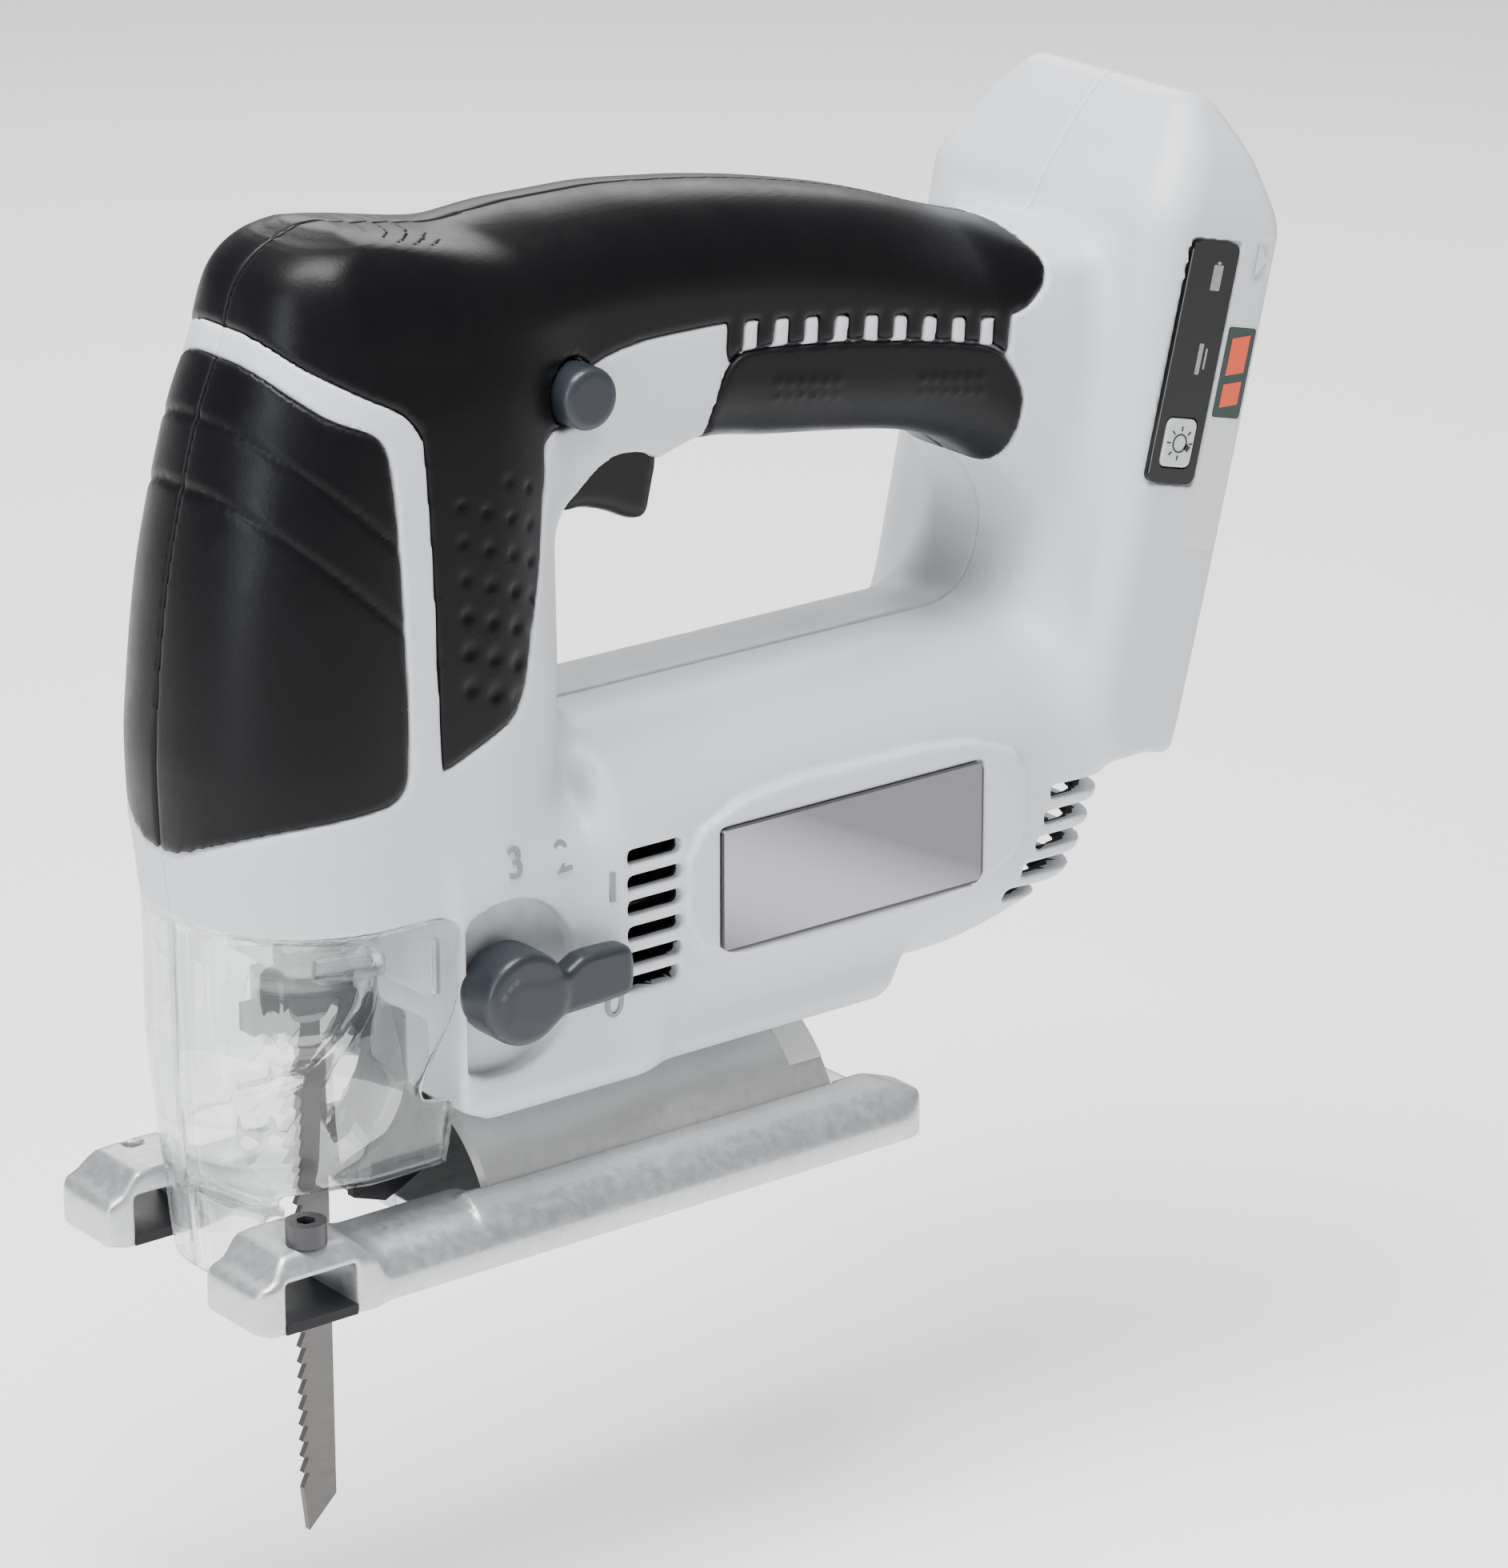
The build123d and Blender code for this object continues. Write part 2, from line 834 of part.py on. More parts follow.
write(gear_case.part, "gear_case")

with BuildPart() as gear_axle:
    add(rod_between((gear_front + 0.1, 0, gear_axis), (case_rear, 0, gear_axis), axle_radius))
write(gear_axle.part, "gear_axle")

for name, x, length in (
    ("front_bearing", case_front, case_rear - case_front),
    ("rear_bearing", rear_bearing_x, bearing_width),
):
    with BuildPart() as bearing:
        add(ring(x, length, bearing_radius, shaft_radius + running))
    write(bearing.part, name)

with BuildPart() as swing_pin:
    add(rod_between((swing_x, -17.8, swing_z), (swing_x, 17.8, swing_z), swing_pin_radius))
write(swing_pin.part, "carrier_pivot_pin")

with BuildPart() as fork_pin:
    add(
        rod_between(
            (fork_pivot_x, -15.8, fork_pivot_z), (fork_pivot_x, 15.8, fork_pivot_z), fork_pin_radius
        )
    )
write(fork_pin.part, "fork_pivot_pin")

with BuildPart() as clamp_nut:
    add(block_between((clamp_screw_x - 6, -6, nut_low), (clamp_screw_x + 6, 6, nut_low + 5)))
    add(
        rod_between((clamp_screw_x, 0, nut_low - 1), (clamp_screw_x, 0, nut_low + 6), clamp_radius),
        mode=Mode.SUBTRACT,
    )
write(clamp_nut.part, "shoe_clamp_nut")

clamp_head_top = bracket_radius - bracket_thick - 0.8
with BuildPart() as clamp_screw:
    add(
        rod_between(
            (clamp_screw_x, 0, clamp_head_top), (clamp_screw_x, 0, nut_low + 4.8), clamp_radius
        )
    )
    add(rod_between((clamp_screw_x, 0, clamp_head_top - 4), (clamp_screw_x, 0, clamp_head_top), 4.3))
    with BuildSketch(Plane.XY.offset(clamp_head_top - 4)):
        with Locations((clamp_screw_x, 0)):
            RegularPolygon(2.3, 6)
    extrude(amount=2.4, mode=Mode.SUBTRACT)
write(clamp_screw.part, "shoe_clamp_screw")


# ---- motor --------------------------------------------------------------------------------

with BuildPart() as motor_can:
    add(ring(can_front, can_rear - can_front, can_radius, can_radius - can_wall))
    add(ring(can_front, can_wall, can_radius - can_wall, shaft_radius + 3))
write(motor_can.part, "motor_can")

magnet_inner = core_radius + 0.8
with BuildPart() as magnets:
    with BuildSketch(Plane.YZ.offset(can_front + 8)):
        with Locations((0, motor_axis)):
            Circle(can_radius - can_wall)
            Circle(magnet_inner, mode=Mode.SUBTRACT)
            Rectangle(12, 60, mode=Mode.SUBTRACT)
    extrude(amount=36)
write(magnets.part, "magnets")

core_front = can_front + 8
core_rear = core_front + 36
brush_x = can_rear + 5
brush_half = 3.0
commutator_radius = 8.0
with BuildPart() as brush_holder:
    add(ring(can_rear, 10, can_radius, commutator_radius + 1.2))
    for side in (LEFT, RIGHT):
        low, high = sided(side, 0, 17.0)
        add(
            block_between(
                (brush_x - brush_half, low, motor_axis - brush_half),
                (brush_x + brush_half, high, motor_axis + brush_half),
            ),
            mode=Mode.SUBTRACT,
        )
write(brush_holder.part, "brush_holder")

with BuildPart() as carbon_brushes:
    for side in (LEFT, RIGHT):
        low, high = sided(side, commutator_radius + running, 17.0)
        add(
            block_between(
                (brush_x - brush_half + 0.05, low, motor_axis - brush_half + 0.05),
                (brush_x + brush_half - 0.05, high, motor_axis + brush_half - 0.05),
            )
        )
write(carbon_brushes.part, "carbon_brushes")

shaft_rear = rear_bearing_x + bearing_width + 1
with BuildPart() as motor_shaft:
    add(rod_between((gear_front, 0, motor_axis), (shaft_rear, 0, motor_axis), shaft_radius))
write(motor_shaft.part, "motor_shaft")

with BuildPart() as armature_core:
    with BuildSketch(Plane.YZ.offset(core_front)):
        with Locations((0, motor_axis)):
            Circle(core_radius)
            Circle(shaft_radius, mode=Mode.SUBTRACT)
            with PolarLocations(core_radius - 1.6, 12):
                Rectangle(5.0, 1.6, mode=Mode.SUBTRACT)
    extrude(amount=core_rear - core_front)
write(armature_core.part, "armature_core")

with BuildPart() as windings:
    for x, length in ((core_front - 4, 4), (core_rear, 6)):
        add(ring(x, length, core_radius - 2, shaft_radius))
write(windings.part, "armature_windings")

with BuildPart() as commutator:
    add(ring(core_rear + 6, can_rear + 10 - core_rear - 6, commutator_radius, shaft_radius))
write(commutator.part, "commutator")

fan_blades = 14
with BuildPart() as fan:
    add(ring(fan_front, fan_rear - fan_front, 6, shaft_radius))
    add(ring(fan_rear - 1.6, 1.6, fan_radius, 6))
    with BuildSketch(Plane.YZ.offset(fan_front)):
        with Locations((0, motor_axis)):
            with PolarLocations((fan_radius + 6) / 2, fan_blades):
                Rectangle(fan_radius - 6.4, 1.2)
    extrude(amount=fan_rear - fan_front - 1.6)
write(fan.part, "motor_fan")


# ---- gears --------------------------------------------------------------------------------


def involute(angle):
    return tan(angle) - angle


def gear_points(teeth, shift, start):
    """The outline of an involute gear, tooth 0 centred on the start angle (degrees)."""
    pitch_radius = gear_module * teeth / 2
    base_radius = pitch_radius * cos(radians(pressure_angle))
    tip_radius = pitch_radius + gear_module * (1 + shift)
    root_radius = pitch_radius - gear_module * (1.25 - shift)
    half_thick = (
        (pi / 2 + 2 * shift * tan(radians(pressure_angle))) / teeth
        - backlash / (4 * pitch_radius)
        + involute(radians(pressure_angle))
    )

    def half_angle(radius):
        return half_thick - involute(acos(min(1.0, base_radius / radius)))

    low = max(base_radius, root_radius)
    radii = [low + (tip_radius - low) * step / 4 for step in range(5)]
    flank = [(radius, half_angle(radius)) for radius in radii]
    if root_radius < base_radius:
        flank.insert(0, (root_radius, half_angle(base_radius)))
    points = []
    for tooth in range(teeth):
        centre = radians(start) + 2 * pi * tooth / teeth
        for radius, angle in flank:
            points.append((radius * cos(centre - angle), radius * sin(centre - angle)))
        for radius, angle in reversed(flank):
            points.append((radius * cos(centre + angle), radius * sin(centre + angle)))
    return points


def gear_plane(height):
    return Plane(origin=(gear_front, 0, height), x_dir=(0, 1, 0), z_dir=(1, 0, 0))


with BuildPart() as pinion:
    with BuildSketch(gear_plane(motor_axis)):
        with BuildLine():
            Polyline(*gear_points(pinion_teeth, profile_shift, 90 + 180 / pinion_teeth), close=True)
        make_face()
        Circle(shaft_radius, mode=Mode.SUBTRACT)
    extrude(amount=gear_width)
write(pinion.part, "motor_pinion")

crank_radius = stroke / 2
yoke_front = 2.0
yoke_rear = gear_front - 3.0
crank_end = yoke_rear + 0.35
with BuildPart() as drive_gear:
    with BuildSketch(gear_plane(gear_axis)):
        with BuildLine():
            Polyline(*gear_points(gear_teeth, -profile_shift, -90), close=True)
        make_face()
    extrude(amount=gear_width)
    add(
        rod_between(
            (gear_front + gear_width, 0, gear_axis), (case_front - 0.4, 0, gear_axis), axle_radius + 4
        )
    )
    add(
        rod_between(
            (gear_front - 1, 0, gear_axis), (case_front + 1, 0, gear_axis), axle_radius + running
        ),
        mode=Mode.SUBTRACT,
    )
    add(
        rod_between(
            (gear_front - 1, 0, gear_axis + crank_radius),
            (gear_front + 4, 0, gear_axis + crank_radius),
            crank_pin_radius,
        ),
        mode=Mode.SUBTRACT,
    )
    for y in (-crank_radius, crank_radius):
        add(
            rod_between((gear_front - 1, y, gear_axis), (gear_front + 9, y, gear_axis), 3.2),
            mode=Mode.SUBTRACT,
        )
write(drive_gear.part, "drive_gear")

with BuildPart() as crank_pin:
    add(
        rod_between(
            (crank_end, 0, gear_axis + crank_radius),
            (gear_front + 4, 0, gear_axis + crank_radius),
            crank_pin_radius,
        )
    )
write(crank_pin.part, "crank_pin")

with BuildPart() as crank_roller:
    add(
        ring(
            crank_end,
            gear_front - crank_end - 0.3,
            crank_roller_radius,
            crank_pin_radius + running,
            gear_axis + crank_radius,
        )
    )
write(crank_roller.part, "crank_roller")


# ---- plunger and its carrier --------------------------------------------------------------

yoke_slot_half = crank_roller_radius + 0.1
yoke_half = yoke_slot_half + 2.1
yoke_z = gear_axis + crank_radius
yoke_reach = crank_radius + crank_roller_radius + 0.4
bush_length = 8.0
upper_bush_low = yoke_z + yoke_half + 1.6
rod_top = upper_bush_low + bush_length + stroke + 2.0
rod_bottom = collar_high - 4.0
holder_high = bush_low - 1.0
bush_radius = rod_radius + 2.0
carrier_half = 8.0
carrier_front = swing_x - 1.0

with BuildPart() as plunger_carrier:
    add(
        block_between(
            (carrier_front, -carrier_half, bush_low), (-rod_radius - 2.2, carrier_half, swing_z)
        )
    )
    add(
        block_between(
            (carrier_front, -carrier_half, bush_low),
            (rod_radius + 3.0, carrier_half, bush_low + bush_length),
        )
    )
    add(
        block_between(
            (carrier_front, -carrier_half, upper_bush_low),
            (rod_radius + 3.0, carrier_half, upper_bush_low + bush_length),
        )
    )
    add(
        rod_between(
            (swing_x, -carrier_half, swing_z), (swing_x, carrier_half, swing_z), swing_pin_radius + 1.1
        )
    )
    for low in (bush_low, upper_bush_low):
        add(rod_between((0, 0, low - 1), (0, 0, low + bush_length + 1), bush_radius), mode=Mode.SUBTRACT)
    add(
        rod_between(
            (swing_x, -carrier_half - 1, swing_z),
            (swing_x, carrier_half + 1, swing_z),
            swing_pin_radius + running,
        ),
        mode=Mode.SUBTRACT,
    )
write(plunger_carrier.part, "plunger_carrier")

with BuildPart() as plunger_bushes:
    for low in (bush_low, upper_bush_low):
        with BuildSketch(Plane.XY.offset(low)):
            Circle(bush_radius)
            Circle(rod_radius + running, mode=Mode.SUBTRACT)
        extrude(amount=bush_length)
write(plunger_bushes.part, "plunger_bushes")

with BuildPart() as plunger_rod:
    add(rod_between((0, 0, rod_bottom), (0, 0, rod_top), rod_radius))
write(plunger_rod.part, "plunger_rod")

with BuildPart() as plunger_yoke:
    add(
        block_between(
            (yoke_front, -yoke_reach - 2.5, yoke_z - yoke_half),
            (yoke_rear, yoke_reach + 2.5, yoke_z + yoke_half),
        )
    )
    add(
        block_between(
            (yoke_front + 2.8, -yoke_reach, yoke_z - yoke_slot_half),
            (yoke_rear + 1, yoke_reach, yoke_z + yoke_slot_half),
        ),
        mode=Mode.SUBTRACT,
    )
    add(rod_between((0, 0, rod_bottom), (0, 0, rod_top), rod_radius), mode=Mode.SUBTRACT)
write(plunger_yoke.part, "plunger_yoke")

blade_front = blade_back - blade_width
with BuildPart() as blade_holder:
    with BuildSketch(Plane.XY.offset(holder_low)):
        Circle(holder_radius)
    extrude(amount=holder_high - holder_low)
    add(
        block_between(
            (blade_front - 0.2, -blade_thick / 2 - 0.1, holder_low - 1),
            (blade_back + 0.2, blade_thick / 2 + 0.1, rod_bottom),
        ),
        mode=Mode.SUBTRACT,
    )
    add(rod_between((0, 0, rod_bottom), (0, 0, holder_high + 1), rod_radius), mode=Mode.SUBTRACT)
write(blade_holder.part, "blade_holder")

with BuildPart() as clamp_collar:
    with BuildSketch(Plane.XY.offset(collar_low)):
        RegularPolygon(collar_radius, 8)
        Circle(holder_radius + running, mode=Mode.SUBTRACT)
    extrude(amount=collar_high - collar_low)
    add(
        block_between(
            (-collar_radius - 2.4, -2.2, collar_low), (-collar_radius + 1.2, 2.2, collar_low + 5)
        )
    )
write(clamp_collar.part, "clamp_collar")

tooth_count = int((teeth_top - blade_tip - 6) / tooth_pitch)
blade_outline = [(blade_back, rod_bottom - 0.2), (blade_back, blade_tip + 5.6)]
blade_outline.append((blade_front + 1.0, blade_tip))
for tooth in range(tooth_count):
    low = teeth_top - (tooth_count - tooth) * tooth_pitch
    blade_outline.append((blade_front, low))
    blade_outline.append((blade_front + tooth_depth, low + 0.9 * tooth_pitch))
blade_outline += [(blade_front + 0.6, teeth_top + 3), (blade_front + 0.6, rod_bottom - 0.2)]
blade = side_prism(blade_outline, -blade_thick / 2, blade_thick / 2)
write(blade, "saw_blade")


# ---- blade guide --------------------------------------------------------------------------

roller_x = blade_back + 0.15 + guide_roller_radius
roller_pin_radius = 1.5
fork_plate = 2.0
fork_inner = 3.3
fork_outer = fork_inner + fork_plate
fork_outline = [
    (fork_pivot_x - 4, fork_pivot_z + 4), (fork_pivot_x + 4, fork_pivot_z + 4),
    (fork_pivot_x + 4, fork_pivot_z - 4), (bracket_front - 1.0, 27.5), (bracket_front - 1.6, 9.0),
    (roller_x + 4, 5.4), (roller_x - 2.6, 7.6), (roller_x - 3, guide_roller_z + 3),
    (roller_x + 3.5, guide_roller_z + 10),
]
with BuildPart() as guide_fork:
    for side in (LEFT, RIGHT):
        add(side_prism(fork_outline, *sided(side, fork_inner, fork_outer)))
        low, high = sided(side, fork_outer, pocket_half - 0.3)
        add(
            rod_between((fork_pivot_x, low, fork_pivot_z), (fork_pivot_x, high, fork_pivot_z), 3.8)
        )
    add(
        block_between(
            (roller_x + 6.4, -fork_inner, guide_roller_z + 7), (bracket_front - 1.8, fork_inner, 29.0)
        )
    )
    add(
        rod_between(
            (fork_pivot_x, -20, fork_pivot_z), (fork_pivot_x, 20, fork_pivot_z),
            fork_pin_radius + running,
        ),
        mode=Mode.SUBTRACT,
    )
    add(
        rod_between(
            (roller_x, -20, guide_roller_z), (roller_x, 20, guide_roller_z), roller_pin_radius
        ),
        mode=Mode.SUBTRACT,
    )
write(guide_fork.part, "guide_fork")

with BuildPart() as roller_pin:
    add(
        rod_between(
            (roller_x, -fork_outer, guide_roller_z), (roller_x, fork_outer, guide_roller_z),
            roller_pin_radius,
        )
    )
write(roller_pin.part, "roller_pin")

roller_half = fork_inner - 0.4
with BuildPart() as guide_roller:
    with BuildSketch(Plane.XZ.offset(-roller_half)):
        with Locations((roller_x, guide_roller_z)):
            Circle(guide_roller_radius)
            Circle(roller_pin_radius + running, mode=Mode.SUBTRACT)
    extrude(amount=2 * roller_half)
write(guide_roller.part, "guide_roller")


# ---- controls -----------------------------------------------------------------------------

knob_base = recess_floor + 0.3
with BuildPart() as orbit_knob:
    add(rod_between((knob_x, -knob_base, knob_z), (knob_x, -knob_base - 7.5, knob_z), knob_radius))
    pointer = [
        (knob_x, knob_z - 4.5), (knob_x + 20, knob_z - 4.5), (knob_x + 20, knob_z + 4.5),
        (knob_x, knob_z + 4.5),
    ]
    add(side_prism(pointer, -chin_half - 7.0, -chin_half - 0.6))
    add(rod_between((knob_x, -knob_base, knob_z), (knob_x, -16.5, knob_z), knob_shaft))
write(orbit_knob.part, "orbit_knob")

with BuildPart() as lock_button:
    add(rod_between((lock_x, -27.0, lock_z), (lock_x, -lock_seat - lock_travel - 0.3, lock_z), lock_radius))
    add(rod_between((lock_x, -lock_seat - 4, lock_z), (lock_x, 15.5, lock_z), lock_shaft))
write(lock_button.part, "lock_button")

trigger_top = switch_low - trigger_travel - 1.0
trigger_outline = [
    (trigger_front, 124.0), (trigger_front + 6, 122.6), (65.0, 118.8), (68.8, 119.2),
    (trigger_rear - 0.6, 126.0), (trigger_rear, 136.0), (trigger_rear - 4, trigger_top),
    (trigger_front + 2, trigger_top), (trigger_front, trigger_top - 4),
]
trigger = side_prism(trigger_outline, -trigger_half, trigger_half)
write(trigger, "trigger")

with BuildPart() as trigger_spring:
    with BuildSketch(Plane.XY.offset(trigger_top)):
        with Locations((61.0, 0)):
            Circle(2.6)
            Circle(1.9, mode=Mode.SUBTRACT)
    extrude(amount=switch_low - trigger_top)
write(trigger_spring.part, "trigger_spring")


# ---- shoe ---------------------------------------------------------------------------------

crest_z = 12.0
crest_y = sqrt(bracket_radius**2 - crest_z**2)
hump_rear = fence_rear + 4.5
rail_outline = [
    (slot_half, 0), (sole_half, 0), (sole_half, 3.6), (sole_half - 1, 6.0), (sole_half - 3.5, 9.0),
    (sole_half - 6.5, 11.0), (crest_y, crest_z), (crest_y - 5, crest_z - 6), (slot_half, sole_thick),
]
leg_outline = [
    (slot_half, 0), (sole_half, 0), (sole_half, 3.6), (sole_half - 1, 6.0), (sole_half - 3.5, 9.0),
    (sole_half - 7, 10.4), (slot_half + 2, 10.4), (slot_half, 8.0),
]
hump_outline = [
    (sole_front + 0.5, 0), (sole_front + 0.5, 8.2), (sole_front + 3, 9.0), (fence_front - 1, hump_top),
    (fence_rear + 1, hump_top), (hump_rear, 9.0), (hump_rear, 0),
]


def end_view_prism(points, start, length):
    """An end-view outline of (y, z) points on the right side, and its mirror image."""
    with BuildPart() as prism:
        with BuildSketch(Plane.YZ.offset(start)):
            with BuildLine():
                Polyline(*points, close=True)
            make_face()
        extrude(amount=length)
        mirror(about=Plane.XZ)
    return prism.part


bracket_seat = rod_between(
    (bracket_front - 1, 0, 0), (bracket_rear + 1, 0, 0), bracket_radius + 0.05
)
with BuildPart() as shoe_plate:
    add(end_view_prism(rail_outline, slot_rear, sole_rear - slot_rear))
    add(end_view_prism(leg_outline, hump_rear - 1, slot_rear - hump_rear + 1))
    add(block_between((slot_rear, -slot_half, 0), (sole_rear, slot_half, sole_thick)))
    for side in (LEFT, RIGHT):
        add(side_prism(hump_outline, *sided(side, slot_half, sole_half - 0.4)))
    with BuildPart(mode=Mode.PRIVATE) as seat_cut:
        add(bracket_seat)
        add(block_between((-50, -60, -60), (200, 60, sole_thick)), mode=Mode.SUBTRACT)
    add(seat_cut.part, mode=Mode.SUBTRACT)
    add(
        block_between((fence_front, -60, -1), (fence_rear, 60, fence_high)), mode=Mode.SUBTRACT
    )
    for y in (-fence_screw_y, fence_screw_y):
        add(
            rod_between((fence_screw_x, y, fence_high - 1), (fence_screw_x, y, 30), fence_hole_radius),
            mode=Mode.SUBTRACT,
        )
write(shoe_plate.part, "shoe_plate")

with BuildPart() as fence_slot_plates:
    for side in (LEFT, RIGHT):
        low, high = sided(side, slot_half + 0.2, sole_half - 0.6)
        add(block_between((fence_front, low, 0), (fence_rear, high, fence_low)))
write(fence_slot_plates.part, "fence_slot_plates")

with BuildPart() as shoe_bracket:
    with BuildSketch(Plane.YZ.offset(bracket_front)):
        Circle(bracket_radius)
        Circle(bracket_radius - bracket_thick, mode=Mode.SUBTRACT)
        with Locations((0, sole_thick)):
            Rectangle(120, 120, align=(Align.CENTER, Align.MAX), mode=Mode.SUBTRACT)
    extrude(amount=bracket_rear - bracket_front)
    add(
        block_between(
            (clamp_screw_x - shoe_travel - 2.9, -2.9, 15), (clamp_screw_x + 2.9, 2.9, 30)
        ),
        mode=Mode.SUBTRACT,
    )
write(shoe_bracket.part, "shoe_bracket")

with BuildPart() as bevel_scale:
    with BuildSketch(Plane.YZ.offset(bracket_rear - 7)):
        Circle(bracket_radius + 0.25)
        Circle(bracket_radius, mode=Mode.SUBTRACT)
        with Locations((0, 16)):
            Rectangle(120, 120, align=(Align.CENTER, Align.MAX), mode=Mode.SUBTRACT)
    extrude(amount=7)
write(bevel_scale.part, "bevel_scale")

with BuildPart() as fence_screw:
    add(
        rod_between(
            (fence_screw_x, -fence_screw_y, fence_high + 0.4),
            (fence_screw_x, -fence_screw_y, hump_top + 0.3),
            fence_hole_radius,
        )
    )
    add(
        rod_between(
            (fence_screw_x, -fence_screw_y, hump_top), (fence_screw_x, -fence_screw_y, hump_top + 4),
            fence_head_radius,
        )
    )
    with BuildSketch(Plane.XY.offset(hump_top + 4)):
        with Locations((fence_screw_x, -fence_screw_y)):
            RegularPolygon(1.75, 6)
    extrude(amount=-2.4, mode=Mode.SUBTRACT)
write(fence_screw.part, "fence_screw")


# ---- clear cover --------------------------------------------------------------------------

# (height, front, half width)
cover_levels = [
    (cover_low, -24.6, 21.5),
    (18.4, -25.0, 23.0),
    (24.0, -25.3, 25.6),
    (40.0, -25.8, 28.0),
    (head_floor - slip, -26.0, 28.4),
]
tongue_levels = [(0.6, -22.8, 12.0), (cover_low + 1.0, -24.6, 13.4)]


def cover_block(levels, inset, corner, low_extra, high_extra):
    """A rounded block through the cover's levels, running out past its rear edge."""
    rows = [(levels[0][0] + low_extra,) + levels[0][1:]] + levels[1:-1]
    rows.append((levels[-1][0] + high_extra,) + levels[-1][1:])
    rear = cover_rear + 2 * corner
    return section_loft(
        [
            (
                Plane.XY.offset(level),
                ((front + rear) / 2, 0),
                rear - front - 2 * inset,
                2 * (half - inset),
                corner - inset,
            )
            for level, front, half in rows
        ]
    )


with BuildPart() as dust_cover:
    add(cover_block(cover_levels, 0, head_corner, 0, 0))
    add(cover_block(tongue_levels, 0, 8.0, 0, 0))
    add(cover_block(cover_levels, cover_wall, head_corner, cover_wall, 5), mode=Mode.SUBTRACT)
    add(cover_block(tongue_levels, cover_wall, 8.0, -3, 4), mode=Mode.SUBTRACT)
    add(block_between((cover_rear, -60, -10), (90, 60, 90)), mode=Mode.SUBTRACT)
write(dust_cover.part, "dust_cover")
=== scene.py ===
"""Looks for the cordless jigsaw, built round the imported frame.  Lengths are millimetres until
a mesh is written, when they turn into metres."""
import json
import math

import bpy
import numpy as np
from mathutils import Matrix, Vector


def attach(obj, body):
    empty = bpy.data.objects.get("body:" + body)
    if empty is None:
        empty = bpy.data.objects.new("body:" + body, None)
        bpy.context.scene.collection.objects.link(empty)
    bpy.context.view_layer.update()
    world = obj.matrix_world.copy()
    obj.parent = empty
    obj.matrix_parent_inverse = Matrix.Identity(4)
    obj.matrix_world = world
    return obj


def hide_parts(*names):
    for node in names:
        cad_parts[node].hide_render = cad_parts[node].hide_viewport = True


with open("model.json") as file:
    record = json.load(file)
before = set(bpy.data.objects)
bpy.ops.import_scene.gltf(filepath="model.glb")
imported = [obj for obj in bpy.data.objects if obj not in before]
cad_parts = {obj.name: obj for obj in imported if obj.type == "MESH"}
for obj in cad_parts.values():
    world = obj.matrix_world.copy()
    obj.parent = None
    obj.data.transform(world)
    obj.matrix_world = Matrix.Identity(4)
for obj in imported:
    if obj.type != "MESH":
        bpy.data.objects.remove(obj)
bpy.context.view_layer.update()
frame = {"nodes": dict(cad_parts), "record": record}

MM = 0.001


# ---- camera -------------------------------------------------------------------------------

camera = bpy.data.objects.new("camera", bpy.data.cameras.new("camera"))
bpy.context.collection.objects.link(camera)
camera.data.sensor_width = 36.0
camera.data.lens = 142.2
camera.data.clip_start, camera.data.clip_end = 0.05, 20.0
right = Vector((0.78889, -0.61453, 0.0))
up = Vector((0.20773, 0.26667, 0.94114))
view_in = Matrix((right, up, right.cross(up))).transposed().to_4x4()
camera.matrix_world = Matrix.Translation((-0.542, -0.821, 0.4355)) @ view_in
bpy.context.scene.camera = camera


# ---- distance fields ----------------------------------------------------------------------

def smooth_max(a, b, k):
    h = np.clip(0.5 - 0.5 * (b - a) / k, 0, 1)
    return b * (1 - h) + a * h + k * h * (1 - h)


def smooth_min(a, b, k):
    return -smooth_max(-a, -b, k)


def curve_through(t, stops, values):
    """A smooth curve through the values, with no overshoot between them."""
    stops, values = np.asarray(stops, float), np.asarray(values, float)
    gap = np.diff(stops)
    slope = np.diff(values) / gap
    tangent = np.zeros(len(stops))
    tangent[0], tangent[-1] = slope[0], slope[-1]
    same = slope[:-1] * slope[1:] > 0
    with np.errstate(divide="ignore", invalid="ignore"):
        tangent[1:-1] = np.where(same, 2 / (1 / slope[:-1] + 1 / slope[1:]), 0)
    t = np.clip(t, stops[0], stops[-1])
    i = np.clip(np.searchsorted(stops, t) - 1, 0, len(gap) - 1)
    u = (t - stops[i]) / gap[i]
    out = (
        (2 * u**3 - 3 * u**2 + 1) * values[i] + (u**3 - 2 * u**2 + u) * gap[i] * tangent[i]
        + (3 * u**2 - 2 * u**3) * values[i + 1] + (u**3 - u**2) * gap[i] * tangent[i + 1]
    )
    return out.astype(np.float32)


def rounded(u, v, half_u, half_v, corner):
    """Distance to a rounded rectangle in two coordinates."""
    a, b = np.abs(u) - half_u + corner, np.abs(v) - half_v + corner
    return np.hypot(np.maximum(a, 0), np.maximum(b, 0)) + np.minimum(np.maximum(a, b), 0) - corner


def box3(x, y, z, low, high, corner=0.3):
    mid = [(a + b) / 2 for a, b in zip(low, high)]
    half = [(b - a) / 2 - corner for a, b in zip(low, high)]
    q = [np.abs(c - m) - h for c, m, h in zip((x, y, z), mid, half)]
    outside = np.sqrt(sum(np.maximum(c, 0) ** 2 for c in q))
    return outside + np.minimum(np.maximum(np.maximum(q[0], q[1]), q[2]), 0) - corner


def softened(points, rounds=2):
    """A closed outline with its corners cut again and again, so that it turns smoothly."""
    p = np.asarray(points, float)
    for _ in range(rounds):
        n = np.roll(p, -1, 0)
        p = np.stack([0.8 * p + 0.2 * n, 0.2 * p + 0.8 * n], 1).reshape(-1, 2)
    return p


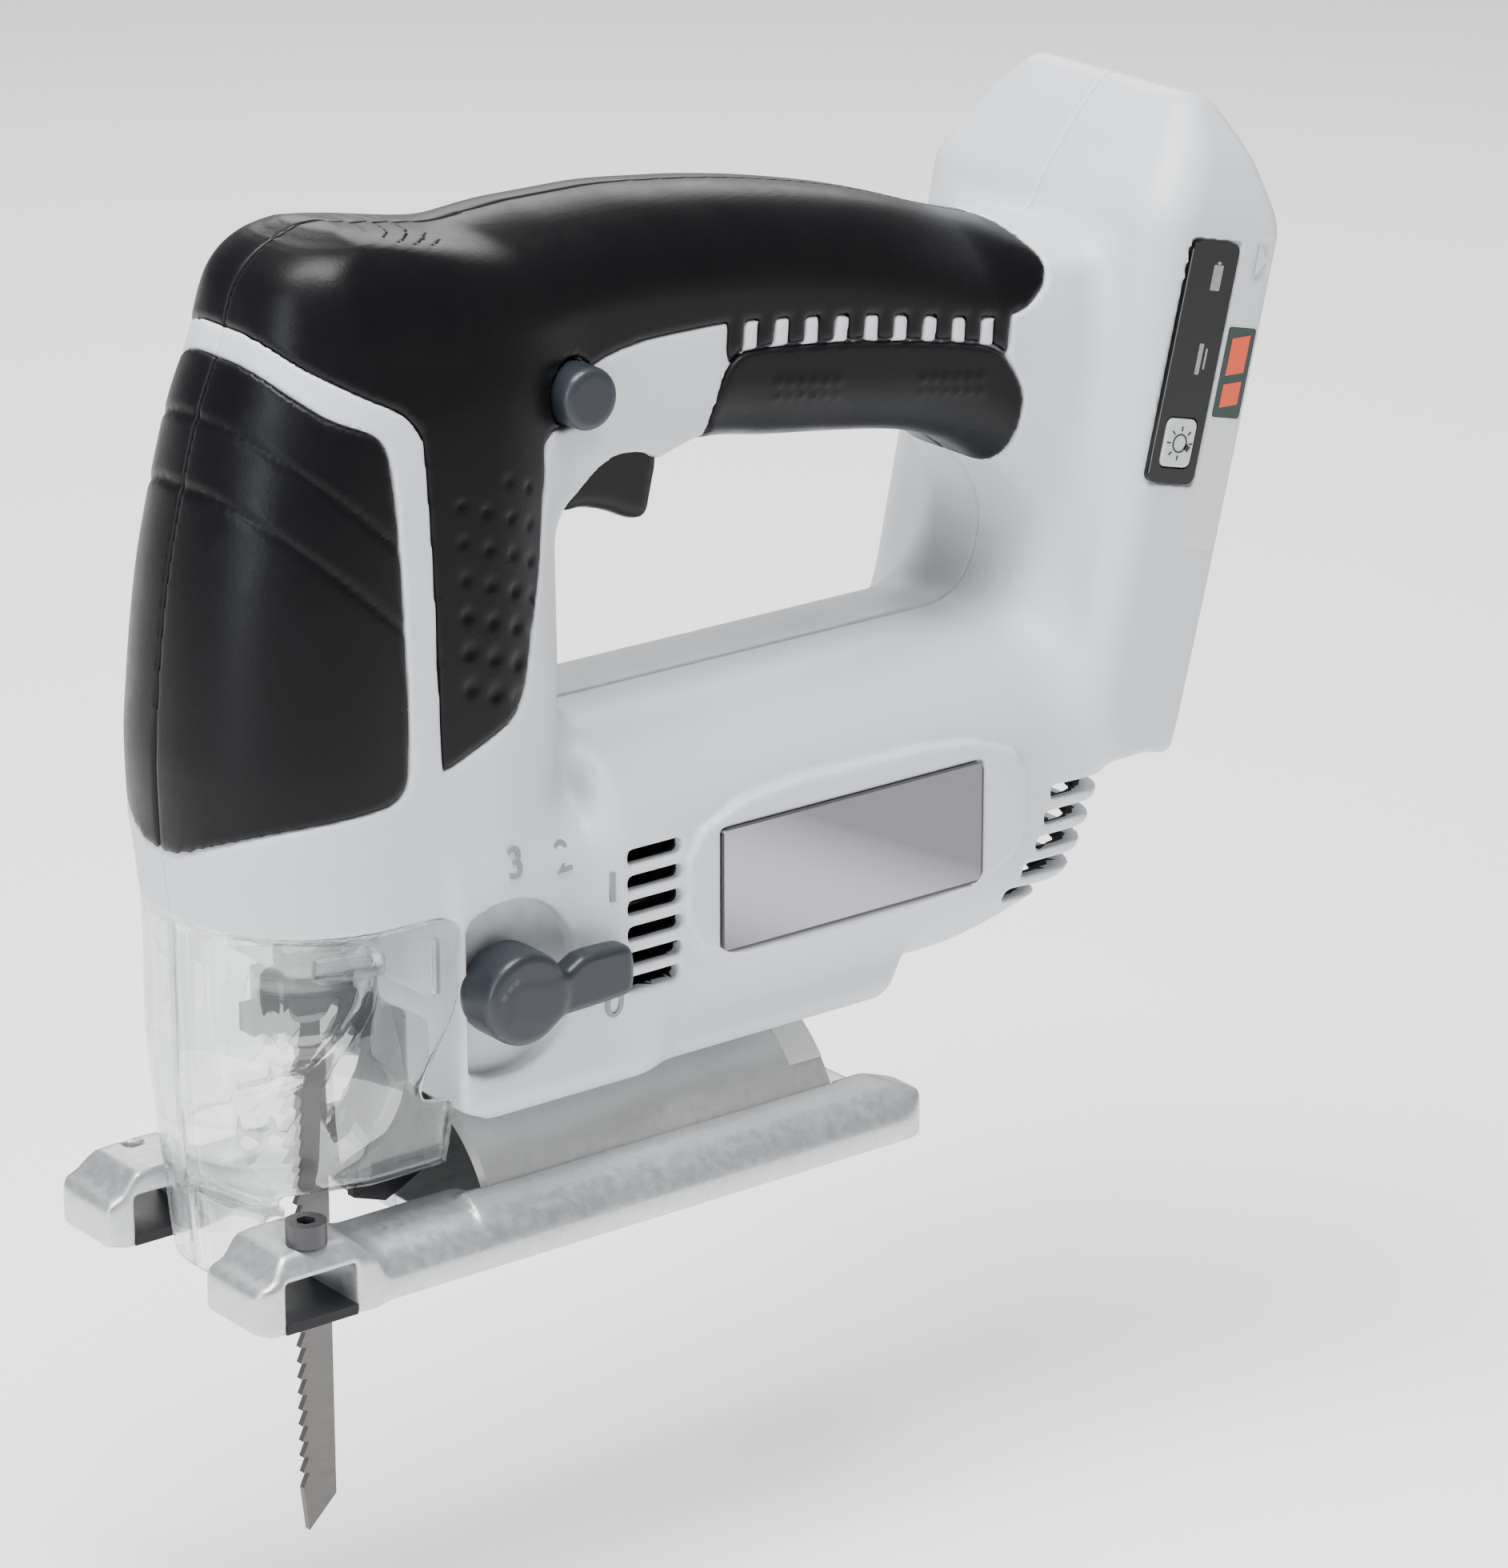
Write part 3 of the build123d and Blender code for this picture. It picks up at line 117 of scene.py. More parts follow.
def outline_field(points, u, v, rounds=2):
    """Distance to a closed outline, over two flat coordinate arrays."""
    p = softened(points, rounds)
    u, v = np.broadcast_arrays(u, v)
    best = np.full(u.shape, 1e9)
    inside = np.zeros(u.shape, bool)
    for (ax, ay), (bx, by) in zip(p, np.roll(p, -1, 0)):
        ex, ey = bx - ax, by - ay
        t = np.clip(((u - ax) * ex + (v - ay) * ey) / (ex * ex + ey * ey + 1e-12), 0, 1)
        best = np.minimum(best, (u - ax - t * ex) ** 2 + (v - ay - t * ey) ** 2)
        if ey:
            cross = (ay > v) != (by > v)
            inside ^= cross & (u < ex * (v - ay) / ey + ax)
    return (np.sqrt(best) * np.where(inside, -1, 1)).astype(np.float32)


class Grid:
    def __init__(self, low, high, step):
        self.low, self.step = np.array(low, float), step
        axes = [np.arange(a, b + step, step, dtype=np.float32) for a, b in zip(low, high)]
        self.x, self.y, self.z = np.meshgrid(*axes, indexing="ij", sparse=True)


CORNERS = [(i, j, k) for i in (0, 1) for j in (0, 1) for k in (0, 1)]
EDGES = [(a, b) for a in CORNERS for b in CORNERS if sum(b) - sum(a) == 1
         and all(q >= p for p, q in zip(a, b))]


def skin_of(field, grid):
    """Vertices and quads of the surface where the field is zero."""
    field = np.pad(field, 1, constant_values=9.0)
    inside = field < 0
    size = [n - 1 for n in field.shape]
    total = np.zeros(size, np.int8)
    for i, j, k in CORNERS:
        total += inside[i:i + size[0], j:j + size[1], k:k + size[2]]
    active = (total > 0) & (total < 8)
    cells = np.argwhere(active)
    number = np.full(size, -1, np.int64)
    number[active] = np.arange(len(cells))
    place, hits = np.zeros((len(cells), 3)), np.zeros(len(cells))
    for a, b in EDGES:
        fa = field[tuple((cells + a).T)]
        fb = field[tuple((cells + b).T)]
        crossing = (fa < 0) != (fb < 0)
        t = np.where(crossing, fa / np.where(crossing, fa - fb, 1), 0)[:, None]
        place += np.where(crossing[:, None], np.array(a) + t * (np.array(b) - a), 0)
        hits += crossing
    place = (cells + place / hits[:, None] - 1) * grid.step + grid.low
    quads = []
    for axis in range(3):
        one, two = [c for c in range(3) if c != axis]
        head = [slice(None)] * 3
        tail = [slice(None)] * 3
        head[axis], tail[axis] = slice(1, None), slice(None, -1)
        change = inside[tuple(tail)] != inside[tuple(head)]
        at = np.argwhere(change)
        at = at[(at[:, one] > 0) & (at[:, two] > 0)
                & (at[:, one] < size[one]) & (at[:, two] < size[two])]
        starts_in = inside[tuple(at.T)]
        step_one, step_two = np.eye(3, dtype=int)[one], np.eye(3, dtype=int)[two]
        ring = [at - step_one - step_two, at - step_two, at, at - step_one]
        quad = np.stack([number[tuple(r.T)] for r in ring], 1)
        flip = starts_in if axis != 1 else ~starts_in
        quad[~flip] = quad[~flip][:, ::-1]
        quads.append(quad)
    return place, np.concatenate(quads)


def new_piece(name, body, places, faces, material, replaces=(), smooth=True):
    """A mesh object, in metres, that rides on a body."""
    mesh = bpy.data.meshes.new(name)
    places = np.asarray(places, float) * MM
    if isinstance(faces, np.ndarray):
        mesh.vertices.add(len(places))
        mesh.vertices.foreach_set("co", places.astype(np.float32).ravel())
        mesh.loops.add(faces.size)
        mesh.loops.foreach_set("vertex_index", faces.astype(np.int32).ravel())
        mesh.polygons.add(len(faces))
        mesh.polygons.foreach_set("loop_start", np.arange(0, faces.size, faces.shape[1], dtype=np.int32))
        mesh.update(calc_edges=True)
    else:
        mesh.from_pydata([tuple(p) for p in places], [], [tuple(f) for f in faces])
    mesh.polygons.foreach_set("use_smooth", [smooth] * len(mesh.polygons))
    mesh.materials.append(material)
    obj = bpy.data.objects.new(name, mesh)
    bpy.context.collection.objects.link(obj)
    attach(obj, body)
    if replaces:
        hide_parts(*replaces)
    return obj


def field_piece(name, body, field, grid, material, replaces=(), mirror=False, thin=None):
    places, quads = skin_of(field, grid)
    if mirror:
        places = places * (1, -1, 1)
        quads = quads[:, ::-1]
    obj = new_piece(name, body, places, quads, material, replaces)
    if thin:
        fewer = obj.modifiers.new("fewer", "DECIMATE")
        fewer.ratio = thin
        apply_modifiers(obj)
    return obj


def apply_modifiers(obj):
    made = bpy.data.meshes.new_from_object(
        obj.evaluated_get(bpy.context.evaluated_depsgraph_get())
    )
    obj.modifiers.clear()
    obj.data = made


def bevelled_plate(name, body, outline, depth, to_world, material, replaces=(), edge=0.3):
    """A flat plate from an outline, standing from 0 to depth, with its upper edge rounded."""
    p = np.asarray(outline, float)
    centre = p.mean(0)
    rings = []
    for inset, height in ((0, 0), (0, depth - edge), (edge * 0.3, depth - edge * 0.3), (edge, depth)):
        inward = centre - p
        inward /= np.linalg.norm(inward, axis=1)[:, None] + 1e-9
        q = p + inward * inset
        rings.append(np.column_stack([q, np.full(len(q), height)]))
    places = np.concatenate(rings)
    n = len(p)
    faces = [tuple(reversed(range(n))), tuple(range(3 * n, 4 * n))]
    for level in range(3):
        for i in range(n):
            j = (i + 1) % n
            faces.append((level * n + i, level * n + j, (level + 1) * n + j, (level + 1) * n + i))
    places = np.array([to_world(*q) for q in places])
    obj = new_piece(name, body, places, faces, material, replaces, smooth=False)
    return obj


def rounded_outline(low_u, low_v, high_u, high_v, corner, steps=6):
    out = []
    for cu, cv, start in ((high_u - corner, high_v - corner, 0), (low_u + corner, high_v - corner, 90),
                          (low_u + corner, low_v + corner, 180), (high_u - corner, low_v + corner, 270)):
        for i in range(steps + 1):
            a = math.radians(start + 90 * i / steps)
            out.append((cu + corner * math.cos(a), cv + corner * math.sin(a)))
    return out


# ---- materials ----------------------------------------------------------------------------

class Recipe:
    """A node material put together step by step."""

    def __init__(self, name):
        self.material = bpy.data.materials.new(name)
        self.material.use_nodes = True
        self.tree = self.material.node_tree
        self.shader = self.tree.nodes["Principled BSDF"]
        self.place = self.node("ShaderNodeTexCoord").outputs["Object"]

    def node(self, kind, **values):
        made = self.tree.nodes.new(kind)
        for key, value in values.items():
            setattr(made, key, value)
        return made

    def link(self, out, into):
        self.tree.links.new(out, into)

    def stretch(self, scale):
        mapping = self.node("ShaderNodeMapping")
        self.link(self.place, mapping.inputs["Vector"])
        mapping.inputs["Scale"].default_value = scale
        return mapping.outputs["Vector"]

    def noise(self, scale, detail=3.0, rough=0.5, at=None):
        made = self.node("ShaderNodeTexNoise")
        self.link(at or self.place, made.inputs["Vector"])
        made.inputs["Scale"].default_value = scale
        made.inputs["Detail"].default_value = detail
        made.inputs["Roughness"].default_value = rough
        return made.outputs["Fac"]

    def cells(self, scale):
        made = self.node("ShaderNodeTexVoronoi")
        self.link(self.place, made.inputs["Vector"])
        made.inputs["Scale"].default_value = scale
        return made.outputs["Distance"]

    def ramp(self, fac, low, high, start=0.3, end=0.7):
        """From the low value or colour to the high one as fac goes from start to end."""
        if isinstance(low, (int, float)):
            made = self.node("ShaderNodeMapRange")
            self.link(fac, made.inputs["Value"])
            for key, value in (("From Min", start), ("From Max", end), ("To Min", low), ("To Max", high)):
                made.inputs[key].default_value = value
            return made.outputs["Result"]
        made = self.node("ShaderNodeValToRGB")
        self.link(fac, made.inputs["Fac"])
        made.color_ramp.elements[0].position, made.color_ramp.elements[1].position = start, end
        made.color_ramp.elements[0].color = (*low, 1)
        made.color_ramp.elements[1].color = (*high, 1)
        return made.outputs["Color"]

    def mix(self, fac, first, second):
        made = self.node("ShaderNodeMix", data_type="RGBA")
        self.link(fac, made.inputs["Factor"])
        for value, socket in ((first, made.inputs["A"]), (second, made.inputs["B"])):
            if isinstance(value, tuple):
                socket.default_value = (*value, 1)
            else:
                self.link(value, socket)
        return made.outputs["Result"]

    def edges(self, reach=0.0008):
        """1 on sharp convex edges, from the geometry's pointiness."""
        geometry = self.node("ShaderNodeNewGeometry")
        return self.ramp(geometry.outputs["Pointiness"], 0.0, 1.0, 0.505, 0.56)

    def bump(self, height, strength, distance, after=None):
        made = self.node("ShaderNodeBump")
        self.link(height, made.inputs["Height"])
        made.inputs["Strength"].default_value = strength
        made.inputs["Distance"].default_value = distance
        if after:
            self.link(after, made.inputs["Normal"])
        return made.outputs["Normal"]

    def finish(self, colour, rough, normal=None, **values):
        self.link(colour, self.shader.inputs["Base Color"])
        if isinstance(rough, (int, float)):
            self.shader.inputs["Roughness"].default_value = rough
        else:
            self.link(rough, self.shader.inputs["Roughness"])
        if normal:
            self.link(normal, self.shader.inputs["Normal"])
        for key, value in values.items():
            self.shader.inputs[key.replace("_", " ")].default_value = value
        return self.material


def moulded(name, colour, rough, grain=1400.0, depth=0.00004, shade=0.9, spread=0.06, coat=0.0,
            scuff=None, sheen=0.5):
    """Moulded plastic or rubber: fine spark grain, faint uneven tone and rubbed edges."""
    r = Recipe(name)
    broad = r.noise(22.0, 4.0)
    tone = r.ramp(broad, tuple(c * shade for c in colour), colour)
    if scuff:
        tone = r.mix(r.edges(), tone, scuff)
    fine = r.noise(grain, 2.0, 0.6)
    roughness = r.ramp(r.noise(90.0, 5.0, 0.65), rough - spread, rough + spread)
    normal = r.bump(fine, 0.35, depth, r.bump(broad, 0.08, 0.0004))
    return r.finish(tone, roughness, normal, Coat_Weight=coat, Coat_Roughness=0.25,
                    Specular_IOR_Level=sheen)


def metal(name, colour, rough, brushed=None, depth=0.00002, spread=0.08, metallic=1.0, dirt=0.75,
          wear=None):
    """Metal with fine working marks, uneven polish and a patchy darker tone."""
    r = Recipe(name)
    broad = r.noise(35.0, 5.0, 0.6)
    tone = r.ramp(broad, tuple(c * dirt for c in colour), colour, 0.25, 0.6)
    if wear:
        tone = r.mix(r.edges(), tone, wear)
    at = r.stretch(brushed) if brushed else r.place
    fine = r.noise(1.0 if brushed else 900.0, 3.0, 0.6, at)
    roughness = r.ramp(fine, rough - spread, rough + spread)
    normal = r.bump(fine, 0.3, depth)
    return r.finish(tone, roughness, normal, Metallic=metallic)


def sparkle_paint(name, colour, rough):
    """Silver paint with a fine metal flake."""
    r = Recipe(name)
    flake = r.cells(2600.0)
    broad = r.noise(28.0, 4.0)
    base = r.ramp(broad, tuple(c * 0.88 for c in colour), colour)
    tone = r.mix(r.ramp(flake, 0.55, 0.0, 0.05, 0.45), base, tuple(min(1.0, c * 1.35) for c in colour))
    roughness = r.ramp(r.noise(500.0, 3.0), rough - 0.09, rough + 0.09)
    normal = r.bump(flake, 0.22, 0.00005, r.bump(r.noise(240.0, 3.0), 0.18, 0.00006))
    return r.finish(tone, roughness, normal, Metallic=0.8)


def plate_finish(name, low_x, high_x, low_z, high_z):
    """Silver label plate: a soft diagonal gradient of painted reflection, fine print-like grain and a dark
    border.
    """
    r = Recipe(name)
    split = r.node("ShaderNodeSeparateXYZ")
    r.link(r.place, split.inputs["Vector"])

    def math_node(kind, a, b):
        made = r.node("ShaderNodeMath", operation=kind)
        for value, socket in ((a, made.inputs[0]), (b, made.inputs[1])):
            if isinstance(value, (int, float)):
                socket.default_value = value
            else:
                r.link(value, socket)
        return made.outputs[0]

    # a diagonal light-to-dark sweep painted into the colour, standing in for the reflection across the silver
    # plate
    across = r.ramp(split.outputs["X"], 0.0, 1.0, low_x * MM, high_x * MM)
    upward = r.ramp(split.outputs["Z"], 0.0, 1.0, low_z * MM, high_z * MM)
    mixed = math_node("ADD", math_node("MULTIPLY", across, 0.55), math_node("MULTIPLY", upward, 0.45))
    reflection_sweep = math_node("SINE", math_node("MULTIPLY", mixed, 5.2), 0.0)
    tone = r.ramp(reflection_sweep, (0.19, 0.185, 0.20), (0.47, 0.46, 0.49), 0.0, 1.0)
    # distance in from the nearest edge of the plate
    from_x = math_node("SUBTRACT", (high_x - low_x) / 2 * MM, math_node(
        "ABSOLUTE", math_node("SUBTRACT", split.outputs["X"], (low_x + high_x) / 2 * MM), 0.0))
    from_z = math_node("SUBTRACT", (high_z - low_z) / 2 * MM, math_node(
        "ABSOLUTE", math_node("SUBTRACT", split.outputs["Z"], (low_z + high_z) / 2 * MM), 0.0))
    nearest = math_node("MINIMUM", from_x, from_z)
    border = r.ramp(nearest, 1.0, 0.0, 0.00045, 0.0006)
    tone = r.mix(border, tone, (0.05, 0.05, 0.055))
    fine = r.noise(1500.0, 3.0, 0.7)
    normal = r.bump(fine, 0.25, 0.00003)
    return r.finish(tone, r.ramp(fine, 0.42, 0.56), normal, Metallic=0.3)


def clear_finish(name):
    """Clear moulded plastic, a little uneven, with faint scratches."""
    r = Recipe(name)
    scratch = r.noise(1.0, 4.0, 0.7, r.stretch((60.0, 60.0, 900.0)))
    roughness = r.ramp(scratch, 0.0, 0.07, 0.6, 0.85)
    normal = r.bump(r.noise(45.0, 2.0), 0.12, 0.0004)
    tone = r.ramp(r.noise(20.0, 3.0), (0.93, 0.95, 0.95), (0.98, 0.99, 0.99))
    material = r.finish(tone, roughness, normal, Transmission_Weight=1.0, IOR=1.42,
                        Specular_IOR_Level=0.3)
    # part of the light goes straight through, so that the works behind are lit
    mixer = r.node("ShaderNodeMixShader")
    through = r.node("ShaderNodeBsdfTransparent")
    through.inputs["Color"].default_value = (0.95, 0.96, 0.96, 1)
    mixer.inputs["Fac"].default_value = 0.38
    r.link(r.shader.outputs["BSDF"], mixer.inputs[1])
    r.link(through.outputs["BSDF"], mixer.inputs[2])
    r.link(mixer.outputs["Shader"], r.tree.nodes["Material Output"].inputs["Surface"])
    return material


finishes = {
    "housing_plastic": moulded("housing_grey", (0.63, 0.648, 0.678), 0.43, 1100.0, 0.00003, 0.965,
                               scuff=(0.70, 0.71, 0.73), sheen=0.45),
    "grip_rubber": moulded("grip_black", (0.0035, 0.0035, 0.0042), 0.37, 1500.0, 0.00008, 0.8,
                           scuff=(0.009, 0.009, 0.010), sheen=0.17),
    "dark_plastic": moulded("control_slate", (0.019, 0.023, 0.029), 0.36, 1200.0, 0.00004, 0.88,
                            scuff=(0.045, 0.052, 0.06), sheen=0.4),
    "black_plastic": moulded("works_black", (0.006, 0.006, 0.007), 0.36, 900.0, 0.00004, 0.8,
                             scuff=(0.012, 0.012, 0.014), sheen=0.2),
    "panel_black": moulded("panel_gloss", (0.003, 0.003, 0.0035), 0.14, 700.0, 0.00001, 0.9, 0.03, 0.0,
                           sheen=0.35),
    "button_grey": moulded("button_pale", (0.58, 0.60, 0.60), 0.38, 1100.0, 0.00003, 0.93),
    "plate_metal": plate_finish("label_plate", 66.0, 124.6, 46.3, 69.3),
    "clear_plastic": clear_finish("clear_cover"),
    "shoe_silver": sparkle_paint("shoe_paint", (0.60, 0.61, 0.62), 0.42),
    "cast_aluminium": metal("cast_grey", (0.66, 0.66, 0.65), 0.5, None, 0.00006, 0.08, 0.85, 0.85),
    "scale_white": moulded("scale_tab", (0.78, 0.78, 0.76), 0.45),
    "black_steel": metal("blackened_steel", (0.011, 0.011, 0.012), 0.34, None, 0.00003, 0.1, 0.35, 0.7,
                         (0.05, 0.05, 0.052)),
    "blade_steel": metal("blade_steel", (0.045, 0.042, 0.038), 0.45, (120.0, 120.0, 2600.0), 0.00003,
                         0.10, 0.85, 0.72, (0.13, 0.125, 0.12)),
    "steel": metal("ground_steel", (0.55, 0.55, 0.55), 0.26, (90.0, 90.0, 1800.0)),
    "motor_steel": metal("motor_steel", (0.36, 0.36, 0.37), 0.4, None, 0.00004),
    "magnet": metal("magnet_grey", (0.10, 0.10, 0.11), 0.5, None, 0.00005, 0.1, 0.4),
    "bronze": metal("bush_bronze", (0.48, 0.32, 0.15), 0.4, (90.0, 90.0, 1500.0)),
    "copper": metal("copper_wire", (0.72, 0.33, 0.18), 0.33, (1500.0, 80.0, 80.0)),
    "carbon": moulded("carbon_black", (0.02, 0.02, 0.021), 0.6, 1800.0, 0.00006),
    "board_green": moulded("board_green", (0.02, 0.14, 0.06), 0.35, 900.0, 0.00003),
    "lamp_lens": moulded("lamp_lens", (0.80, 0.80, 0.72), 0.15, 500.0, 0.00001, 0.95, 0.05, 0.5),
}
marking = moulded("marking_grey", (0.25, 0.26, 0.275), 0.5)
# a dark grey painted onto the housing's inner faces as the shade inside the shell, not the plastic's own colour
inside_shade_grey = moulded("inside_shade_grey", (0.035, 0.036, 0.038), 0.6, sheen=0.2)
ink = moulded("ink_black", (0.01, 0.01, 0.011), 0.4)
label_silver = metal("label_silver", (0.66, 0.66, 0.67), 0.36, None, 0.00001, 0.06, 0.4, 0.95)
label_dark = moulded("label_dark", (0.010, 0.028, 0.022), 0.3)
label_orange = moulded("label_orange", (0.75, 0.07, 0.015), 0.35)

for part in frame["record"]["subparts"]:
    node = frame["nodes"].get(part["node"])
    if node is None:
        continue
    for i in range(len(node.material_slots)):
        node.material_slots[i].material = finishes[part["material_slot"]]
    if not node.material_slots:
        node.data.materials.append(finishes[part["material_slot"]])


# ---- the moulded body ---------------------------------------------------------------------

hub_tilt = math.radians(13.5)
hub_x, hub_z = 168.3, 61.0
hub_length = 118.0
wall, skin = 3.4, 2.0
head_top, head_underside = 179.5, 65.4
motor_z = 56.5

body_grid = Grid((-31.5, -36.0, 20.5), (196.0, 1.5, 184.5), 0.7)
X, Y, Z = body_grid.x, body_grid.y, body_grid.z
side = np.abs(Y)


def hub_frame(x, z):
    """How far along the hub's lean and how far back from its rear face a point lies."""
    dx, dz = x - hub_x, z - hub_z
    return (dx * math.sin(hub_tilt) + dz * math.cos(hub_tilt),
            dx * math.cos(hub_tilt) - dz * math.sin(hub_tilt))


ALONG, BACK = hub_frame(X, Z)

head_z = [63.5, 75, 79, 92, 102.5, 121, 139, 150.6, 160.5, 165.6, 170.9, 174.5, 177.4, 179.2]
head_front = [-25.9, -27.1, -27.7, -28.0, -27.3, -25.0, -21.1, -17.8, -13.7, -12.0, -10.2, -7.6, -3.6, 1.5]
head_rear = [46, 46, 46, 46.5, 47, 47, 48, 48, 47, 44, 37, 28, 18, 9]
head_half = [28.4, 28.7, 28.8, 28.8, 28.6, 27.6, 26.0, 24.4, 21.8, 20.2, 18.0, 16.0, 13.6, 11.0]
head_corner = [27, 27.2, 27.3, 27.3, 27.2, 26.2, 24.7, 23, 19.5, 16.6, 13.8, 11.4, 9.8, 8.2]
front, rear = curve_through(Z, head_z, head_front), curve_through(Z, head_z, head_rear)
head = rounded(X - (front + rear) / 2, Y, (rear - front) / 2, curve_through(Z, head_z, head_half),
               curve_through(Z, head_z, head_corner))
head = smooth_max(smooth_max(head, Z - head_top, 3.0), head_underside - Z, 1.0)

handle_x = [4, 14, 33, 46, 60, 78, 92, 111, 122, 133, 147, 158]
handle_top = [174.0, 174.8, 176.4, 177.3, 177.3, 175.8, 173.8, 169.8, 166.7, 163.0, 158.2, 155.0]
handle_low = [127, 127, 127, 127.2, 128.0, 132.0, 130.0, 127.4, 125.4, 121.6, 112.5, 107]
handle_half = [16.0, 17.4, 18.6, 19, 19, 19, 19, 19, 19, 19, 19, 19]
top, low = curve_through(X, handle_x, handle_top), curve_through(X, handle_x, handle_low)
half = curve_through(X, handle_x, handle_half)
middle = (top + low) / 2
handle = rounded(Z - middle, Y, (top - low) / 2, half, np.where(Z > middle, 0.9 * half, 12.0))
handle = smooth_max(smooth_max(handle, 4 - X, 5.0), X - 158, 4.0)

along = [0, 7, 50, 95, 107, 118]
hub_front, hub_rear = [-17.5, -23, -25, -29.5, -25, -19], [0, 0, 0, 0, -4.5, -11.5]
front, rear = curve_through(ALONG, along, hub_front), curve_through(ALONG, along, hub_rear)
hub = rounded(BACK - (front + rear) / 2, Y, (rear - front) / 2,
              curve_through(ALONG, along, [33.0, 33.6, 34, 34, 30.4, 22.0]),
              np.where(BACK > (front + rear) / 2, curve_through(ALONG, along, [2.6, 2.6, 2.6, 2.8, 3.4, 3.6]),
                       curve_through(ALONG, along, [4.5, 5.5, 7, 8.5, 8.2, 4.0])))
hub = smooth_max(smooth_max(hub, -ALONG, 2.0), ALONG - hub_length, 2.5)

column_z = [45, 66, 88, 101, 115, 135, 152]
front = curve_through(Z, column_z, [131, 138, 145.5, 149.0, 150.0, 148, 146])
rear = curve_through(Z, column_z, [152, 158, 163, 166, 168, 173, 178])
column = rounded(X - (front + rear) / 2, Y, (rear - front) / 2,
                 curve_through(Z, column_z, [24, 24, 21, 19.5, 19, 19, 19]), 9.0)
column = smooth_max(smooth_max(column, 45 - Z, 2.0), Z - 152, 4.0)

barrel = rounded(Y, Z - motor_z, 29.9, 31.0, np.where(Z > motor_z, 20.0, 27.0))
barrel_end = curve_through(Z, [25, 33, 40, 48, 58, 70, 90], [127, 137.5, 147, 151.5, 154.8, 155.2, 152])
barrel = smooth_max(smooth_max(barrel, X - barrel_end, 7.0), 44 - X, 5.0)

chin = smooth_max(rounded(Y, Z - 49.4, 28.0, 24.9, 6.0), X - 60, 8.0)
chin = smooth_max(chin, 14 - X, 1.5)
chin = smooth_max(chin, ((13.4 - X) * 4.5 + (28.8 - Z) * 7.5) / 8.75, 2.0)
foot = rounded(Y, Z - 42, 24.5, 17.5, 4.5)
foot = smooth_max(smooth_max(foot, 22 - X, 1.0), (X - 108.8 - (Z - 24.5) * 0.48) * 0.9, 2.0)
nose = box3(X, Y, Z, (9.2, -20.4, 48.5), (26, 20.4, 76), 3.0)

body = smooth_min(barrel, chin, 5.0)
body = smooth_min(body, foot, 3.0)
body = smooth_min(body, nose, 1.5)
body = smooth_min(body, head, 6.5)
upper = smooth_min(handle, column, 12.0)
upper = smooth_min(upper, hub, 6.0)
body = smooth_min(body, upper, 9.0)
outer = body

# raised panel on the barrel's side, and its rim
panel_outline = [(59.6, 74.8), (135.4, 73.8), (135.0, 44.6), (58.4, 43.4)]
panel = outline_field(panel_outline, X[:, 0, :], Z[0, :, :], 2)[:, None, :]
panel = smooth_max(smooth_max(panel, side - 31.4, 0.7), 18 - side, 0.5)
hollow = outer + wall
cavity = np.minimum(hollow, 9.0)
solid = smooth_min(outer, panel, 0.7)


def boxed(low, high, corner=0.3):
    return box3(X, side, Z, low, high, corner)


def hub_boxed(back, half, run, corner=0.3):
    return box3(BACK, Y, ALONG, (back[0], -half, run[0]), (back[1], half, run[1]), corner)


def post(x, z, radius, near, far=60.0):
    """A round post along Y from near to far, off the mid-plane."""
    round_part = np.hypot(X - x, Z - z) - radius
    return np.maximum(np.maximum(round_part, near - side), side - far)


bay_wall = hub_boxed((-11.8, 0.0), 28.8, (0.0, 96.8))
groove_wall = np.maximum(np.maximum(np.hypot(Y, Z) - 27.9, 19 - X), X - 109)
pocket_wall = boxed((14, -1, 25), (34, 11.5, 43.6))
fittings = np.minimum(np.minimum(bay_wall, groove_wall), pocket_wall)
shell = np.maximum(smooth_max(solid, -cavity, 0.4), -9.0)
shell = np.minimum(shell, np.maximum(solid, fittings))

openings = np.minimum(hub_boxed((-9.0, -3.6), 26.0, (-2.0, 94.0), 0.6),
                      hub_boxed((-3.8, 4.0), 22.0, (-2.0, 94.0), 0.6))
openings = np.minimum(openings, np.maximum(np.hypot(Y, Z) - 25.95, X - 107.0))
openings = np.minimum(openings, boxed((2, -1, 15), (32, 9.5, 41.6)))
openings = np.minimum(openings, boxed((-13.2, -1, 60), (10.2, 18.9, 70.8)))
openings = np.minimum(openings, boxed((49.7, -1, 108), (71.8, 8.15, 142), 0.8))
arch = [(47.4, 112), (47.9, 127), (49.6, 132.2), (54.0, 135.4), (60, 134.6), (66.5, 131.4), (71.2, 128.0),
        (71.6, 112)]
openings = np.minimum(openings, np.maximum(outline_field(arch, X[:, 0, :], Z[0], 1)[:, None, :],
                                           (side - 30.0)))
for row in range(6):
    low_edge = 42.9 + 4.68 * row
    openings = np.minimum(openings, boxed((47.0, 20, low_edge), (58.8, 45, low_edge + 2.9), 0.9))
for row, start in enumerate((133.4, 136.2, 138.6, 140.4, 141.8)):
    low_edge = 38.6 + 4.65 * row
    openings = np.minimum(openings, boxed((start, 12, low_edge), (170, 45, low_edge + 2.8), 0.9))
openings = np.minimum(openings, boxed((65.95, 30.38, 46.25), (124.65, 45, 69.35), 0.05))

